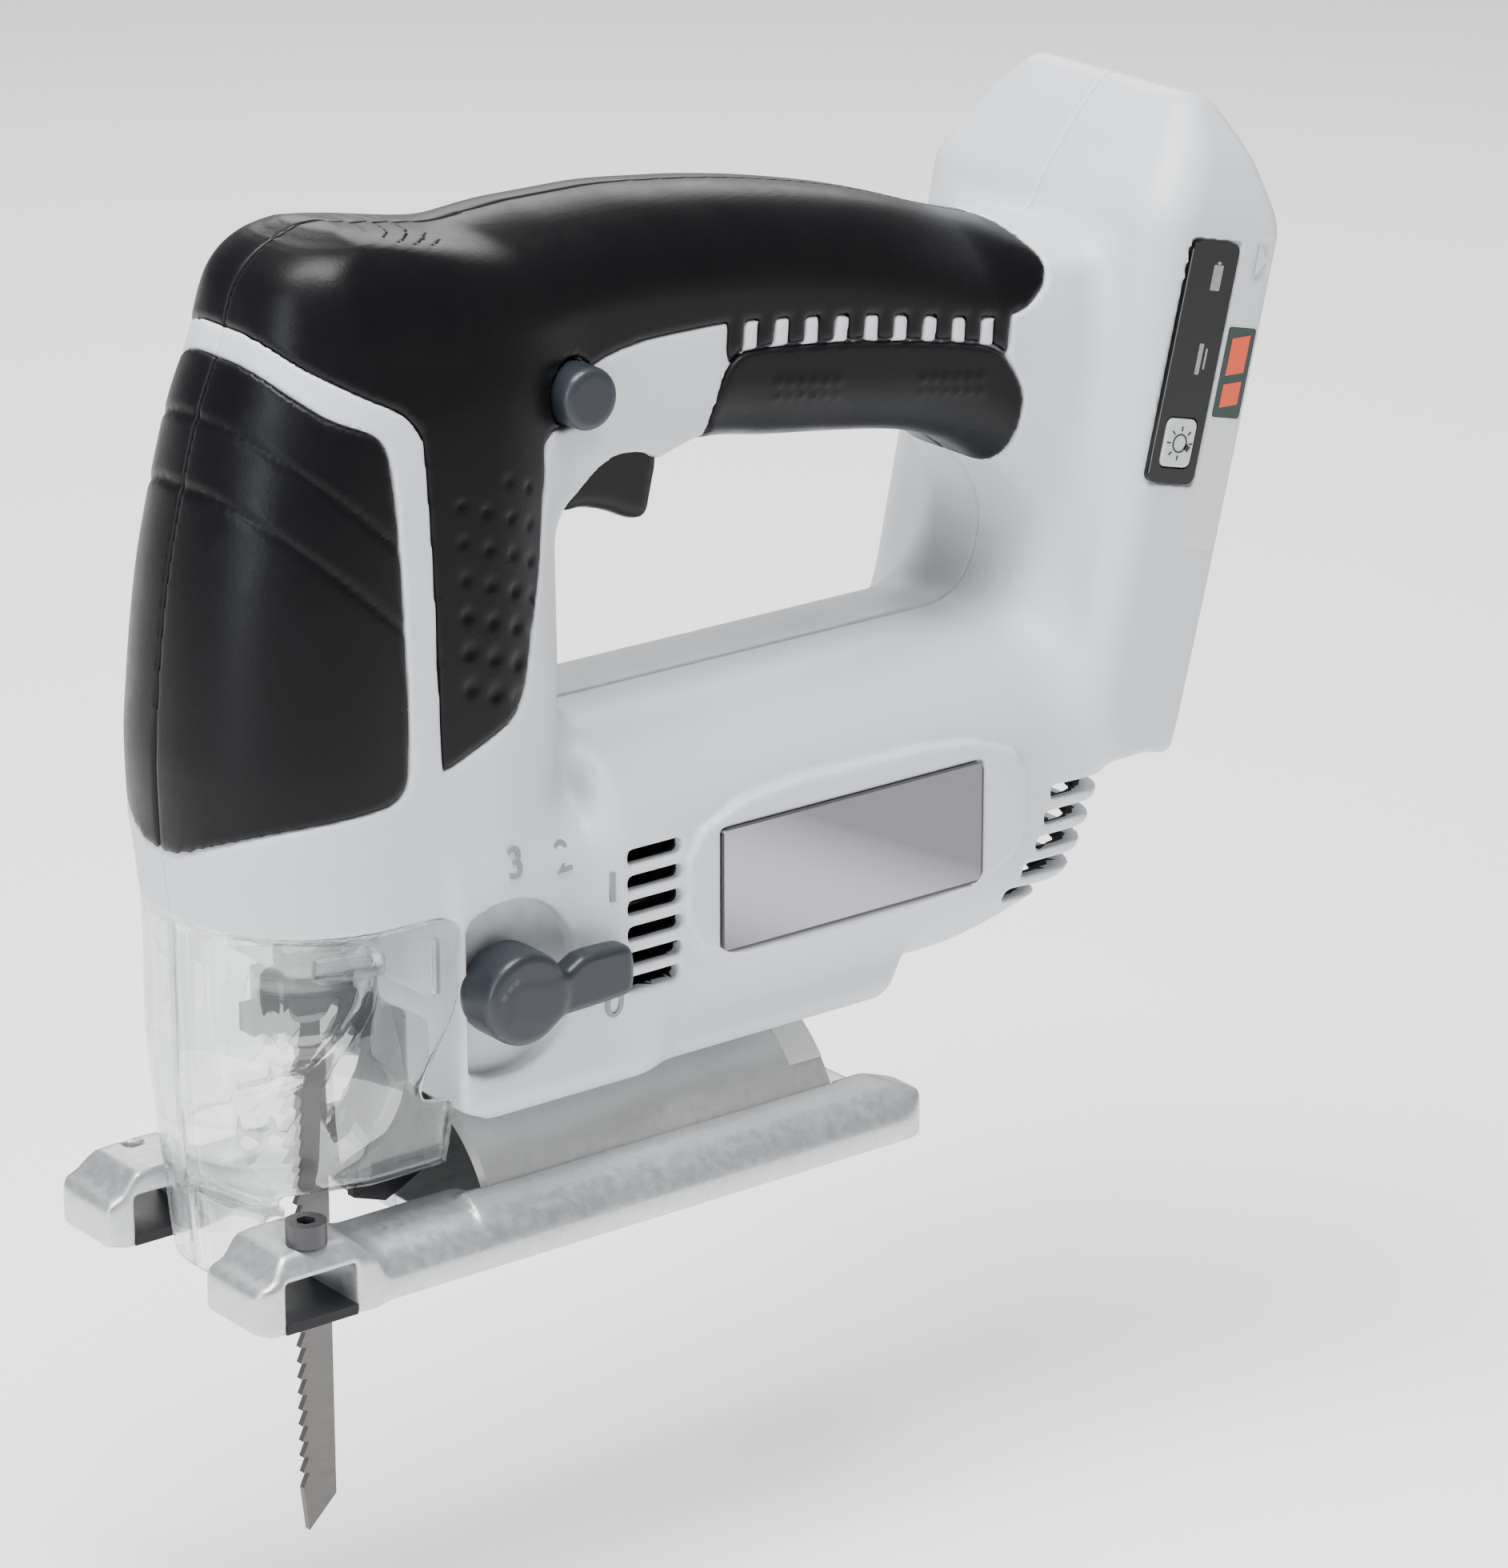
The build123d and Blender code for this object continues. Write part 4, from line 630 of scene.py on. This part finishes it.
# overmoulded rubber, each region an outline in side view
front_pad = [(-45, 62), (-31, 70), (-28.2, 74.6), (-27.2, 78), (-25.6, 80.8), (-22, 83.4), (-17, 85.2),
             (-10, 86.4), (3.1, 87.9),
             (3.7, 100), (3.7, 143), (2.2, 149.2), (-5.6, 152.4), (-10, 156.4), (-13.4, 160.4), (-20, 167),
             (-45, 185)]
grip = [(-40, 192), (-13.0, 166.6), (-8.0, 161.0), (0, 155.9), (7.0, 152.3), (10.2, 148.0), (10.3, 143),
        (9.8, 91.2), (12, 91.6), (23.8, 96.6), (27.4, 99.4), (30.2, 109.6), (34.2, 123), (35.4, 138),
        (35.6, 142.0), (38.5, 143.6), (42, 142.4), (46.6, 146), (47.4, 151.6), (52.6, 153.4), (60, 154.6),
        (80, 154.6), (110, 150.6), (136.6, 145.2), (143, 145.6), (147.4, 149.6), (148.4, 154), (146.8, 158.6),
        (143.2, 163.4), (140, 190)]
finger = [(74.7, 137.0), (75.2, 141.4), (77.0, 146.0), (80.6, 149.2), (108, 146.0), (136.8, 140.4),
          (140.2, 136.0), (143.2, 130.4), (142.2, 124.4), (141, 110), (126, 108), (100, 112), (80, 118),
          (78, 130)]


def region(outline, rounds=2):
    return outline_field(outline, X[:, 0, :], Z[0, :, :], rounds)[:, None, :]


def rubber_of(place, lift=0.0, edge=0.8):
    """The rubber skin over a region, its rim rounded over."""
    return smooth_max(np.maximum(solid - lift, -(solid + skin)), place, edge)


# ribs of the light strip between grip and finger grip
strip = []
for k in range(10):
    along_strip = k / 9.0
    x = 79.5 + along_strip * (138.5 - 79.5)
    z = 152.6 - along_strip * (152.6 - 142.6)
    strip.append([(x - 1.6, z + 5), (x + 1.9, z + 5), (x + 1.1, z - 5), (x - 2.4, z - 5)])
ribs = None
for outline in strip:
    one = region(outline, 1)
    ribs = one if ribs is None else np.minimum(ribs, one)

pad_place, grip_place, finger_place = region(front_pad), region(grip), region(finger, 2)
grip_place = np.minimum(grip_place, np.maximum(ribs, -(finger_place - 0.5)))

# grooves across the front pad, and dimples down the pillar
groove_one = np.abs(Z - 150.6 - np.minimum(0, (-17.6 - X) * 0.95))
groove_two = np.abs(Z - 139.4 - np.minimum(0, (-20.4 - X) * 0.95))
grooves = np.minimum(groove_one, groove_two)
pad_lift = -0.45 * np.exp(-(grooves / 0.75) ** 2)
dimples = 0.0
for column, column_x in enumerate((16.2, 21.2, 26.2, 30.6)):
    for row in range(7):
        z = 98.4 + 3.1 * (column % 2) + 6.2 * row + 0.22 * (column_x - 16)
        if z < 100 or z > 138 or (column == 3 and z < 110):
            continue
        size = 1.45 - 0.021 * (z - 100)
        dimples = dimples - 0.5 * np.exp(-(((X - column_x) ** 2 + (Z - z) ** 2) / size**2) ** 1.5)
bumps = 0.0
for row in range(2):
    for group in (88.0, 120.0):
        for k in range(6):
            x = group + 2.6 * k
            z = 143.2 - 0.155 * (x - 80) - 2.6 * row
            bumps = bumps + 0.42 * np.exp(-((X - x) ** 2 + (Z - z) ** 2) / 0.7**2)
cup = np.where(side > 12, 1.0, 0.0)

pads = {
    "front_pad": (rubber_of(pad_place, pad_lift), "grip_rubber", None),
    "grip": (rubber_of(grip_place, dimples * cup, 0.6), "grip_rubber", None),
    "finger_grip": (rubber_of(finger_place, 0.25 + bumps * cup, 0.8), "grip_rubber", None),
}
gap = 0.16
taken = np.minimum(np.minimum(pad_place, grip_place), finger_place) - gap
pocket = np.maximum(taken, -(solid + skin + 0.02))
shell = smooth_max(shell, -pocket, 0.3)
shell = smooth_max(shell, -openings, 0.35)
half_cut = smooth_max(Y + 0.04, Y + 0.04, 0.0001)


def closed_half(field):
    return smooth_max(field, half_cut, 0.35)


# ---- left side ----------------------------------------------------------------------------

knob_x, knob_z = 22.0, 49.8
lock_x, lock_z = 43.5, 148.5
recess = smooth_max(np.hypot(X - knob_x, Z - knob_z) - 16.0, 25.1 - side, 0.5)
recess = np.maximum(recess, -(X - 14.9))
knob_hole = np.hypot(X - knob_x, Z - knob_z) - 3.1
seat = np.maximum(np.maximum(post(knob_x, knob_z, 17.6, 23.4, 27.0), 14.0 - X), solid)
lock_cup = np.maximum(post(lock_x, lock_z, 8.2, 15.2), solid + skin + 0.1)
lock_well = np.minimum(post(lock_x, lock_z, 5.85, 13.0), post(lock_x, lock_z, 2.6, 10.0))
panel_cut = box3(BACK, side, ALONG, (-21.7, 32.98, 49.8), (-9.8, 60, 94.2), 0.1)
light_cut = box3(BACK, side, ALONG, (-19.6, 27.5, 52.8), (-11.9, 60, 62.2), 0.2)
arrow_cut = box3(BACK, side, ALONG, (-5.6, 33.3, 87.4), (-2.0, 60, 95.0), 0.5)
detents = 9.0
for angle in (37, 64, 92):
    a = math.radians(angle)
    spot = np.sqrt((X - knob_x - 12.9 * math.cos(a)) ** 2 + (Z - knob_z - 12.9 * math.sin(a)) ** 2
                   + (side - 26.9) ** 2) - 2.4
    detents = np.minimum(detents, spot)

left = np.minimum(np.minimum(shell, seat), lock_cup)
left = smooth_max(left, -recess, 0.5)
left = smooth_max(left, -detents, 0.3)
left = smooth_max(left, -np.maximum(knob_hole, 20 - side), 0.2)
left = smooth_max(left, -np.minimum(np.minimum(lock_well, panel_cut), np.minimum(light_cut, arrow_cut)), 0.3)
half_faces = 0.55


def paint_inside_shade(obj, flip):
    """The inner faces of a shell half, seen through its slots, take a dark grey of painted shade, standing in
    for the shade inside the shell.
    """
    obj.data.materials.append(inside_shade_grey)
    count = len(obj.data.polygons)
    middles = np.empty(count * 3)
    obj.data.polygons.foreach_get("center", middles)
    at = middles.reshape(-1, 3) / MM * (1, -1 if flip else 1, 1)
    cell = np.round((at - body_grid.low) / body_grid.step).astype(int)
    cell = np.clip(cell, 0, np.array(outer.shape) - 1)
    # faces well inside the outer skin take the painted shade, except round the battery bay and the knob recess
    painted_shade_faces = (outer[tuple(cell.T)] < -2.2) & (np.abs(at[:, 1]) > 1.0)
    in_bay = openings_near[tuple(cell.T)] < 1.5
    obj.data.polygons.foreach_set("material_index", (painted_shade_faces & ~in_bay).astype(np.int32))


openings_near = np.minimum(hub_boxed((-9.0, -3.6), 26.0, (-2.0, 94.0)), recess)
paint_inside_shade(field_piece("left_shell", "housing", closed_half(left), body_grid, finishes["housing_plastic"],
                          ("left_housing",), thin=half_faces), False)

# ---- right side ---------------------------------------------------------------------------

screws = [(8.0, 160.0), (38.0, 112.0), (96.0, 156.0), (138.0, 138.0), (96.0, 82.9), (96.0, 30.1),
          (154.0, 82.0)]
cups, wells = 9.0, 9.0
for x, z in screws:
    cups = np.minimum(cups, np.maximum(post(x, z, 5.2, 10.8), solid + skin + 0.1))
    wells = np.minimum(wells, post(x, z, 3.25, 12.98))
right_half = smooth_max(np.minimum(shell, cups), -wells, 0.3)
led_hole = np.maximum(np.hypot(side - 9.5, Z - 57.5) - 2.6, X - 20)
right_half = smooth_max(right_half, -led_hole, 0.2)
paint_inside_shade(field_piece("right_shell", "housing", closed_half(right_half), body_grid,
                          finishes["housing_plastic"], ("right_housing",), mirror=True,
                          thin=half_faces), True)

for name, (field, finish, _) in pads.items():
    for which, mirror in (("left", False), ("right", True)):
        made = field
        if name == "grip":
            made = smooth_max(made, -(lock_well if not mirror else wells), 0.4)
        elif mirror:
            made = smooth_max(made, -wells, 0.4)
        field_piece(f"{which}_{name}_skin", "housing", closed_half(made), body_grid, finishes[finish],
                    (f"{which}_{name}",), mirror=mirror)


# ---- clear cover --------------------------------------------------------------------------

cover_top, cover_wall = 65.1, 1.7
cover_grid = Grid((-28.5, -30.5, -1.5), (15.5, 1.2, 66.8), 0.6)
cx, cy, cz = cover_grid.x, cover_grid.y, cover_grid.z
c_side = np.abs(cy)
front = curve_through(cz, [-1, 11, 23, 33, 48, 63.7], [-22.9, -24.2, -24.95, -25.6, -25.95, -26.0])
half = curve_through(cz, [0, 15.2, 18.4, 24, 40, 63.7], [21.0, 22.0, 23.4, 25.6, 27.9, 28.3])
bulge = 0.5 * np.exp(-((cz - 40) / 9.0) ** 2)
around = rounded(cx - (front + 46) / 2, cy, (46 - front) / 2, half + bulge, 0.955 * half)
cover_edge = [(-45, 90), (13.4, 90), (13.4, 52.5), (11.6, 47), (8.6, 42.5), (6.4, 38.4), (5.2, 35),
              (6.0, 32.9), (9.0, 32.3), (12.2, 31.9), (12.6, 28.5), (12.4, 24), (13.3, 17.5),
              (12.6, 14.6), (9, 14.8), (2.4, 16.9), (-7, 18.9), (-15.5, 18.6), (-19, 10), (-20, -30), (-45, -30)]
edge_place = outline_field(cover_edge, cx[:, 0, :], cz[0, :, :], 2)[:, None, :]
step = np.clip((c_side - 9.0) / 9.0, 0, 1)
lower_rim = 0.4 + 17.8 * step * step * (3 - 2 * step)
tongue = (lower_rim - cz) * 0.5


def segment_in_side_view(ax, az, bx, bz):
    ex, ez = bx - ax, bz - az
    t = np.clip(((cx - ax) * ex + (cz - az) * ez) / (ex * ex + ez * ez), 0, 1)
    return np.hypot(cx - ax - t * ex, cz - az - t * ez)


rib_line = [(-4.6, 62), (-3.4, 57), (-5.0, 52), (-9.0, 46.5), (-12.6, 42), (-17, 39.8), (-20.6, 37.4),
            (-21.6, 33), (-20.6, 28.5)]
rib = 99.0
for (ax, az), (bx, bz) in zip(rib_line, rib_line[1:]):
    rib = np.minimum(rib, segment_in_side_view(ax, az, bx, bz))
swell = 0.75 * np.exp(-(rib / 1.1) ** 2) * (c_side > 12)
corner_rib = np.hypot(cx + 17.8, c_side - 18.6)
swell = (swell + 0.8 * np.exp(-(corner_rib / 1.3) ** 2) * np.clip((cz - 24) / 4, 0, 1)
         * np.clip((60 - cz) / 4, 0, 1))
inner_face = around + cover_wall + swell
clear = smooth_max(around, -inner_face, 0.3)
clear = smooth_max(smooth_max(clear, edge_place, 0.5), tongue, 0.5)
clear = smooth_max(clear, cz - cover_top, 0.3)
# a shelf inside the lower front, a clip block near the top and a thin slit in the side wall
shelf = np.maximum(np.abs(cz - (16.4 - 0.30 * (cx + 22))) - 0.9, around + 0.8)
shelf = np.maximum(np.maximum(shelf, cx + 15.5), -(around + 6.0))
shelf = np.maximum(shelf, c_side - 17.5)
clear = smooth_min(clear, np.maximum(shelf, -cz), 1.2)
clip = box3(cx, c_side, cz, (-12.5, 22.5, 58.0), (-1.5, 27.2, 61.4), 0.6)
clear = smooth_min(clear, np.maximum(clip, around + 0.4), 0.6)
slit = box3(cx, c_side, cz, (8.1, 20, 51.6), (9.1, 40, 62.0), 0.4)
clear = smooth_max(clear, -slit, 0.25)
cover_half = smooth_max(clear, cy, 0.02)
half_places, half_quads = skin_of(cover_half, cover_grid)


def both_sides(places, quads):
    """A half surface and its mirror image, joined along the mid-plane."""
    on_plane = np.abs(places[:, 1]) < 0.02
    cap = on_plane[quads].all(1)
    quads = quads[~cap]
    mirrored = places * (1, -1, 1)
    return np.concatenate([places, mirrored]), np.concatenate([quads, quads[:, ::-1] + len(places)])


def welded(obj, distance=0.00006):
    weld = obj.modifiers.new("weld", "WELD")
    weld.merge_threshold = distance
    apply_modifiers(obj)
    return obj


cover_places, cover_quads = both_sides(half_places, half_quads)
welded(new_piece("chip_cover", "dust_cover", cover_places, cover_quads, finishes["clear_plastic"],
                 ("dust_cover",)))

# ---- shoe ---------------------------------------------------------------------------------

shoe_grid = Grid((-33.5, -34.0, -1.5), (117.0, 1.2, 15.5), 0.6)
sx, sy, sz = shoe_grid.x, shoe_grid.y, shoe_grid.z
s_side = np.abs(sy)
rail_outline = [(15.0, 0.0), (31.9, 0.0), (32.0, 3.2), (31.6, 5.0), (30.2, 7.4), (27.8, 9.8), (25.0, 11.4),
                (22.9, 12.0), (21.9, 11.6), (18.2, 6.4), (15.0, 3.6)]
leg_outline = [(15.0, 0.0), (31.9, 0.0), (32.0, 3.2), (31.5, 5.2), (29.4, 8.2), (26.6, 10.0), (22, 10.6),
               (17, 10.4), (15.0, 8.6)]
hump_outline = [(-31.2, -0.6), (-31.2, 7.4), (-30.0, 8.8), (-27.6, 9.6), (-25.8, 12.2), (-24.2, 13.5),
                (-12.2, 13.6), (-10.4, 12.6), (-8.0, 10.0), (-6.4, 9.0), (-6.0, -0.6)]
rail = outline_field(rail_outline, s_side[0], sz[0], 2)[None]
rail = smooth_max(np.maximum(rail, 16.0 - sx), sx - 113.8, 1.2)
rail = smooth_max(rail, (sz - 12.2 + np.maximum(0, sx - 103.5) * 0.42) * 0.92, 1.2)
leg = np.maximum(np.maximum(outline_field(leg_outline, s_side[0], sz[0], 2)[None], -8.5 - sx), sx - 19.5)
hump = outline_field(hump_outline, sx[:, 0, :], sz[0], 1)[:, None, :]
hump = smooth_max(hump, np.maximum(15.0 - s_side, s_side - 31.9), 1.4)
lean = (s_side - 31.9 + np.maximum(0, sz - 8.6) * 0.55) * 0.87
hump = smooth_max(hump, lean, 1.0)
middle_plate = np.maximum(np.maximum(18.0 - sx, sx - 113.6),
                          np.maximum(s_side - 20, np.abs(sz - 1.75) - 1.75))
shoe = smooth_min(np.minimum(rail, leg), hump, 2.4)
shoe = np.minimum(shoe, middle_plate)
shoe = smooth_max(shoe, -sz, 0.25)
# the outer corners are rounded in plan
plan = rounded(sx - 41.2, sy, 72.7, 32.0, np.where(sx > 41, 7.0, 4.5))
shoe = smooth_max(shoe, plan, 0.8)
seat_round = np.maximum(np.maximum(np.hypot(sy, sz) - 25.68, 21 - sx), np.maximum(sx - 98, 3.5 - sz))
shoe = smooth_max(shoe, -seat_round, 0.2)
window = box3(sx, sy, sz, (-25.5, -60, -4), (-11.1, 60, 9.3), 0.2)
shoe = smooth_max(shoe, -window, 0.3)
hole = np.maximum(np.hypot(sx + 18.3, s_side - 27.0) - 1.72, 8.0 - sz)
shoe = smooth_max(shoe, -hole, 0.2)
slot = rounded(sx + 10, sy, 28.0, 15.0, 3.0)
shoe = smooth_max(shoe, -slot, 0.3)
shoe_places, shoe_quads = both_sides(*skin_of(smooth_max(shoe, sy, 0.02), shoe_grid))
welded(new_piece("shoe_casting", "shoe", shoe_places, shoe_quads, finishes["shoe_silver"],
                 ("shoe_plate",)))

# ---- knob and trigger ---------------------------------------------------------------------

knob_grid = Grid((11.5, -38.0, 38.0), (46.5, -14.0, 61.0), 0.42)
kx, ky, kz = knob_grid.x, knob_grid.y, knob_grid.z
k_side = -ky
round_hub = smooth_max(np.hypot(kx - knob_x, kz - knob_z) - 8.3, np.abs(k_side - 31.0) - 4.9, 1.8)
arm = [(18, 44.6), (42.6, 45.2), (44.2, 46.2), (44.6, 48), (44.6, 52.4), (43.8, 54.2), (42, 54.8), (34, 54.9),
       (31.4, 53.4), (28.6, 51.8), (18, 53)]
arm_place = outline_field(arm, kx[:, 0, :], kz[0], 1)[:, None, :]
arm_body = smooth_max(arm_place, np.abs(k_side - 33.0) - 2.5, 1.6)
knob = smooth_min(round_hub, arm_body, 1.2)
stem = np.maximum(np.hypot(kx - knob_x, kz - knob_z) - 3.0, np.abs(k_side - 21.5) - 5.0)
knob = np.minimum(knob, stem)
field_piece("selector_knob", "orbit_knob", knob, knob_grid, finishes["dark_plastic"],
            ("orbit_knob",))

trigger_grid = Grid((48.0, -9.5, 116.0), (73.5, 9.5, 141.0), 0.6)
tx, ty, tz = trigger_grid.x, trigger_grid.y, trigger_grid.z
trigger_outline = [(50.0, 124.0), (51.8, 122.6), (55.4, 122.8), (60.6, 121.2), (65.2, 118.9), (67.6, 118.4),
                   (69.4, 119.4), (70.4, 124), (71.4, 128), (71.4, 136), (67.5, 139.4), (52, 139.4),
                   (50.0, 136)]
trigger = outline_field(trigger_outline, tx[:, 0, :], tz[0], 1)[:, None, :]
trigger = smooth_max(trigger, np.abs(ty) - 7.8, 3.2)
field_piece("trigger_lever", "trigger", trigger, trigger_grid, finishes["black_plastic"],
            ("trigger",))

button_grid = Grid((36.5, -28.5, 141.5), (50.5, 10.5, 155.5), 0.4)
bx, by, bz = button_grid.x, button_grid.y, button_grid.z
from_axis = np.hypot(bx - lock_x, bz - lock_z)
button = smooth_max(from_axis - 5.45, np.abs(-by - 22.2) - 3.85, 1.6)
button = np.minimum(button, np.maximum(from_axis - 2.45, np.abs(by + 7.45) - 16.45))
field_piece("lock_button_cap", "lock_button", button, button_grid, finishes["dark_plastic"],
            ("lock_button",))

# ---- panel, button, label and marks on the body -------------------------------------------


def on_hub(distance):
    """Places a flat outline of (back, along) points on the hub's left side."""
    def place(u, v, lift):
        x = hub_x + v * math.sin(hub_tilt) + u * math.cos(hub_tilt)
        z = hub_z + v * math.cos(hub_tilt) - u * math.sin(hub_tilt)
        return x, -(distance + lift), z
    return place


def with_hole(name, body, outline, hole, depth, to_world, material, replaces=()):
    """A flat plate with one hole; both outlines have the same number of points."""
    n = len(outline)
    rows = [(outline, 0), (outline, depth - 0.15), (
        [(u * 0.985 + 0.015 * sum(p[0] for p in outline) / n,
          v * 0.995 + 0.005 * sum(p[1] for p in outline) / n)
         for u, v in outline], depth), (hole, depth), (hole, 0)]
    places = [to_world(u, v, h) for line, h in rows for u, v in line]
    faces = []
    for level in range(len(rows)):
        after = (level + 1) % len(rows)
        for i in range(n):
            j = (i + 1) % n
            faces.append((level * n + i, level * n + j, after * n + j, after * n + i))
    return new_piece(name, body, places, faces, material, replaces, smooth=False)


with_hole("panel_glass", "housing", rounded_outline(-21.4, 50.1, -10.1, 93.9, 1.6),
          rounded_outline(-19.6, 52.8, -11.9, 62.2, 1.5), 1.2, on_hub(33.0), finishes["panel_black"],
          ("control_panel",))
bevelled_plate("light_key", "light_button", rounded_outline(-19.3, 53.1, -12.2, 61.9, 1.3), 2.8,
               on_hub(31.8), finishes["button_grey"], ("light_button",), 0.5)


def ring_plate(name, body, centre, inner, outer_radius, to_world, material, lift, thick=0.1):
    turn = [(math.cos(math.tau * i / 32), math.sin(math.tau * i / 32)) for i in range(32)]
    outside = [(centre[0] + outer_radius * c, centre[1] + outer_radius * s) for c, s in turn]
    inside = [(centre[0] + inner * c, centre[1] + inner * s) for c, s in turn]
    return with_hole(name, body, outside, inside, thick + lift, to_world, material)


key_face = on_hub(34.6)
ring_plate("lamp_mark_ring", "light_button", (-15.75, 57.5), 1.45, 1.75, key_face, ink, 0.0)
bars = []
for k in range(8):
    a = math.tau * k / 8
    if k == 7:
        continue
    c, s = math.cos(a), math.sin(a)
    bars.append([(-15.75 + r * c - w * s, 57.5 + r * s + w * c) for r, w in
                 ((2.2, -0.14), (3.1, -0.14), (3.1, 0.14), (2.2, 0.14))])
bars.append([(-14.75, 56.6), (-13.6, 56.0), (-13.0, 56.9), (-14.2, 57.6)])
for k, outline in enumerate(bars):
    bevelled_plate(f"lamp_mark_{k}", "light_button", outline, 0.1, key_face, ink, (), 0.02)
# two faint generic battery and lamp marks printed on the dark panel
for k, (low_u, low_v, high_u, high_v) in enumerate(((-15.6, 85.2, -13.4, 89.8), (-14.9, 89.9, -14.1, 90.4),
                                                    (-15.3, 70.0, -14.3, 75.6), (-13.6, 71.0, -13.2, 74.8))):
    bevelled_plate(f"panel_mark_{k}", "housing", rounded_outline(low_u, low_v, high_u, high_v, 0.2, 3), 0.08,
                   on_hub(34.2), marking, (), 0.02)

# plain two-tone sticker with no lettering
sticker = on_hub(33.98)
bevelled_plate("sticker_base", "housing", rounded_outline(-9.2, 38.5, -1.9, 79.4, 0.9), 0.12, sticker,
               label_silver, (), 0.03)
bevelled_plate("sticker_block", "housing", rounded_outline(-8.9, 62.6, -2.2, 79.1, 0.6), 0.2, sticker,
               label_dark, (), 0.03)
for k, run in enumerate(((64.4, 68.6), (70.2, 77.0))):
    bevelled_plate(f"sticker_bar_{k}", "housing",
                   [(-7.6, run[0]), (-3.4, run[0] + 0.8), (-3.4, run[1] + 0.8), (-7.6, run[1])],
                   0.28, sticker, label_orange, (), 0.03)
bevelled_plate("arrow_mark", "housing", [(-5.0, 93.9), (-2.6, 91.2), (-5.0, 88.5)], 0.5, on_hub(33.32),
               finishes["housing_plastic"], (), 0.12)


def surface_at(x, z):
    """How far the left side of the body stands off the mid-plane at (x, z)."""
    i = int(round((x - body_grid.low[0]) / body_grid.step))
    k = int(round((z - body_grid.low[2]) / body_grid.step))
    line = solid[i, :, k]
    ys = body_grid.y[0, :, 0]
    first = int(np.argmax(line < 0))
    t = line[first - 1] / (line[first - 1] - line[first])
    return -(ys[first - 1] + t * (ys[first] - ys[first - 1]))


for digit, x, z, height in (("0", 44.7, 41.4, 5.4), ("1", 44.0, 63.0, 5.4), ("2", 35.0, 70.2, 5.4),
                            ("3", 24.0, 72.0, 5.4)):
    text = bpy.data.curves.new(f"digit_{digit}", "FONT")
    text.body, text.align_x, text.align_y = digit, "CENTER", "CENTER"
    text.size, text.extrude, text.bevel_depth = height * 1.42 * MM, 0.0002, 0.00006
    text.resolution_u = 6
    holder = bpy.data.objects.new(f"digit_{digit}_line", text)
    bpy.context.collection.objects.link(holder)
    made = bpy.data.meshes.new_from_object(holder.evaluated_get(bpy.context.evaluated_depsgraph_get()))
    bpy.data.objects.remove(holder)
    depth_at = [surface_at(x + dx, z + dz) for dx in (-1.5, 1.5) for dz in (-2.5, 2.5)]
    slope_x = (depth_at[2] + depth_at[3] - depth_at[0] - depth_at[1]) / 6.0
    slope_z = (depth_at[1] + depth_at[3] - depth_at[0] - depth_at[2]) / 10.0
    for vertex in made.vertices:
        u, v, out = vertex.co
        depth = (sum(depth_at) / 4 + 0.12) * MM + slope_x * u + slope_z * v + out
        vertex.co = (x * MM + u, -depth, z * MM + v)
    piece = bpy.data.objects.new(f"dial_digit_{digit}", made)
    made.materials.clear()
    made.materials.append(marking)
    bpy.context.collection.objects.link(piece)
    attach(piece, "housing")


# ---- floor, light and world ---------------------------------------------------------------

floor_mesh = bpy.data.meshes.new("floor")
floor_reach, floor_level = 6, -0.075
floor_corners = [(x * floor_reach, y * floor_reach, floor_level)
                 for x, y in ((-1, -1), (1, -1), (1, 1), (-1, 1))]
floor_mesh.from_pydata(floor_corners, [], [(0, 1, 2, 3)])
floor = bpy.data.objects.new("floor", floor_mesh)
bpy.context.collection.objects.link(floor)
pale = Recipe("floor_pale")
floor_tone = pale.ramp(pale.noise(3.0), (0.93, 0.93, 0.935), (0.95, 0.95, 0.955))
pale.link(floor_tone, pale.shader.inputs["Emission Color"])
floor_mesh.materials.append(pale.finish(floor_tone, 0.9, Emission_Strength=0.6))

world = bpy.data.worlds.new("studio")
world.use_nodes = True
world.node_tree.nodes["Background"].inputs["Color"].default_value = (0.97, 0.98, 1.0, 1)
world.node_tree.nodes["Background"].inputs["Strength"].default_value = 0.35
bpy.context.scene.world = world


def soft_light(name, place, width, height, power, colour=(1, 1, 1)):
    lamp = bpy.data.lights.new(name, "AREA")
    lamp.shape, lamp.size, lamp.size_y = "RECTANGLE", width, height
    lamp.energy, lamp.color = power, colour
    obj = bpy.data.objects.new(name, lamp)
    bpy.context.collection.objects.link(obj)
    obj.location = place
    aim = Vector((0.06, 0, 0.09)) - Vector(place)
    obj.rotation_euler = aim.to_track_quat("-Z", "Y").to_euler()


soft_light("top_softbox", (-0.12, -0.10, 1.0), 0.7, 0.45, 22.0)
soft_light("front_softbox", (-1.0, -0.24, 0.46), 0.24, 0.8, 6.5, (0.93, 0.965, 1.0))
soft_light("rear_softbox", (0.65, 0.75, 0.7), 0.7, 0.6, 6.0)
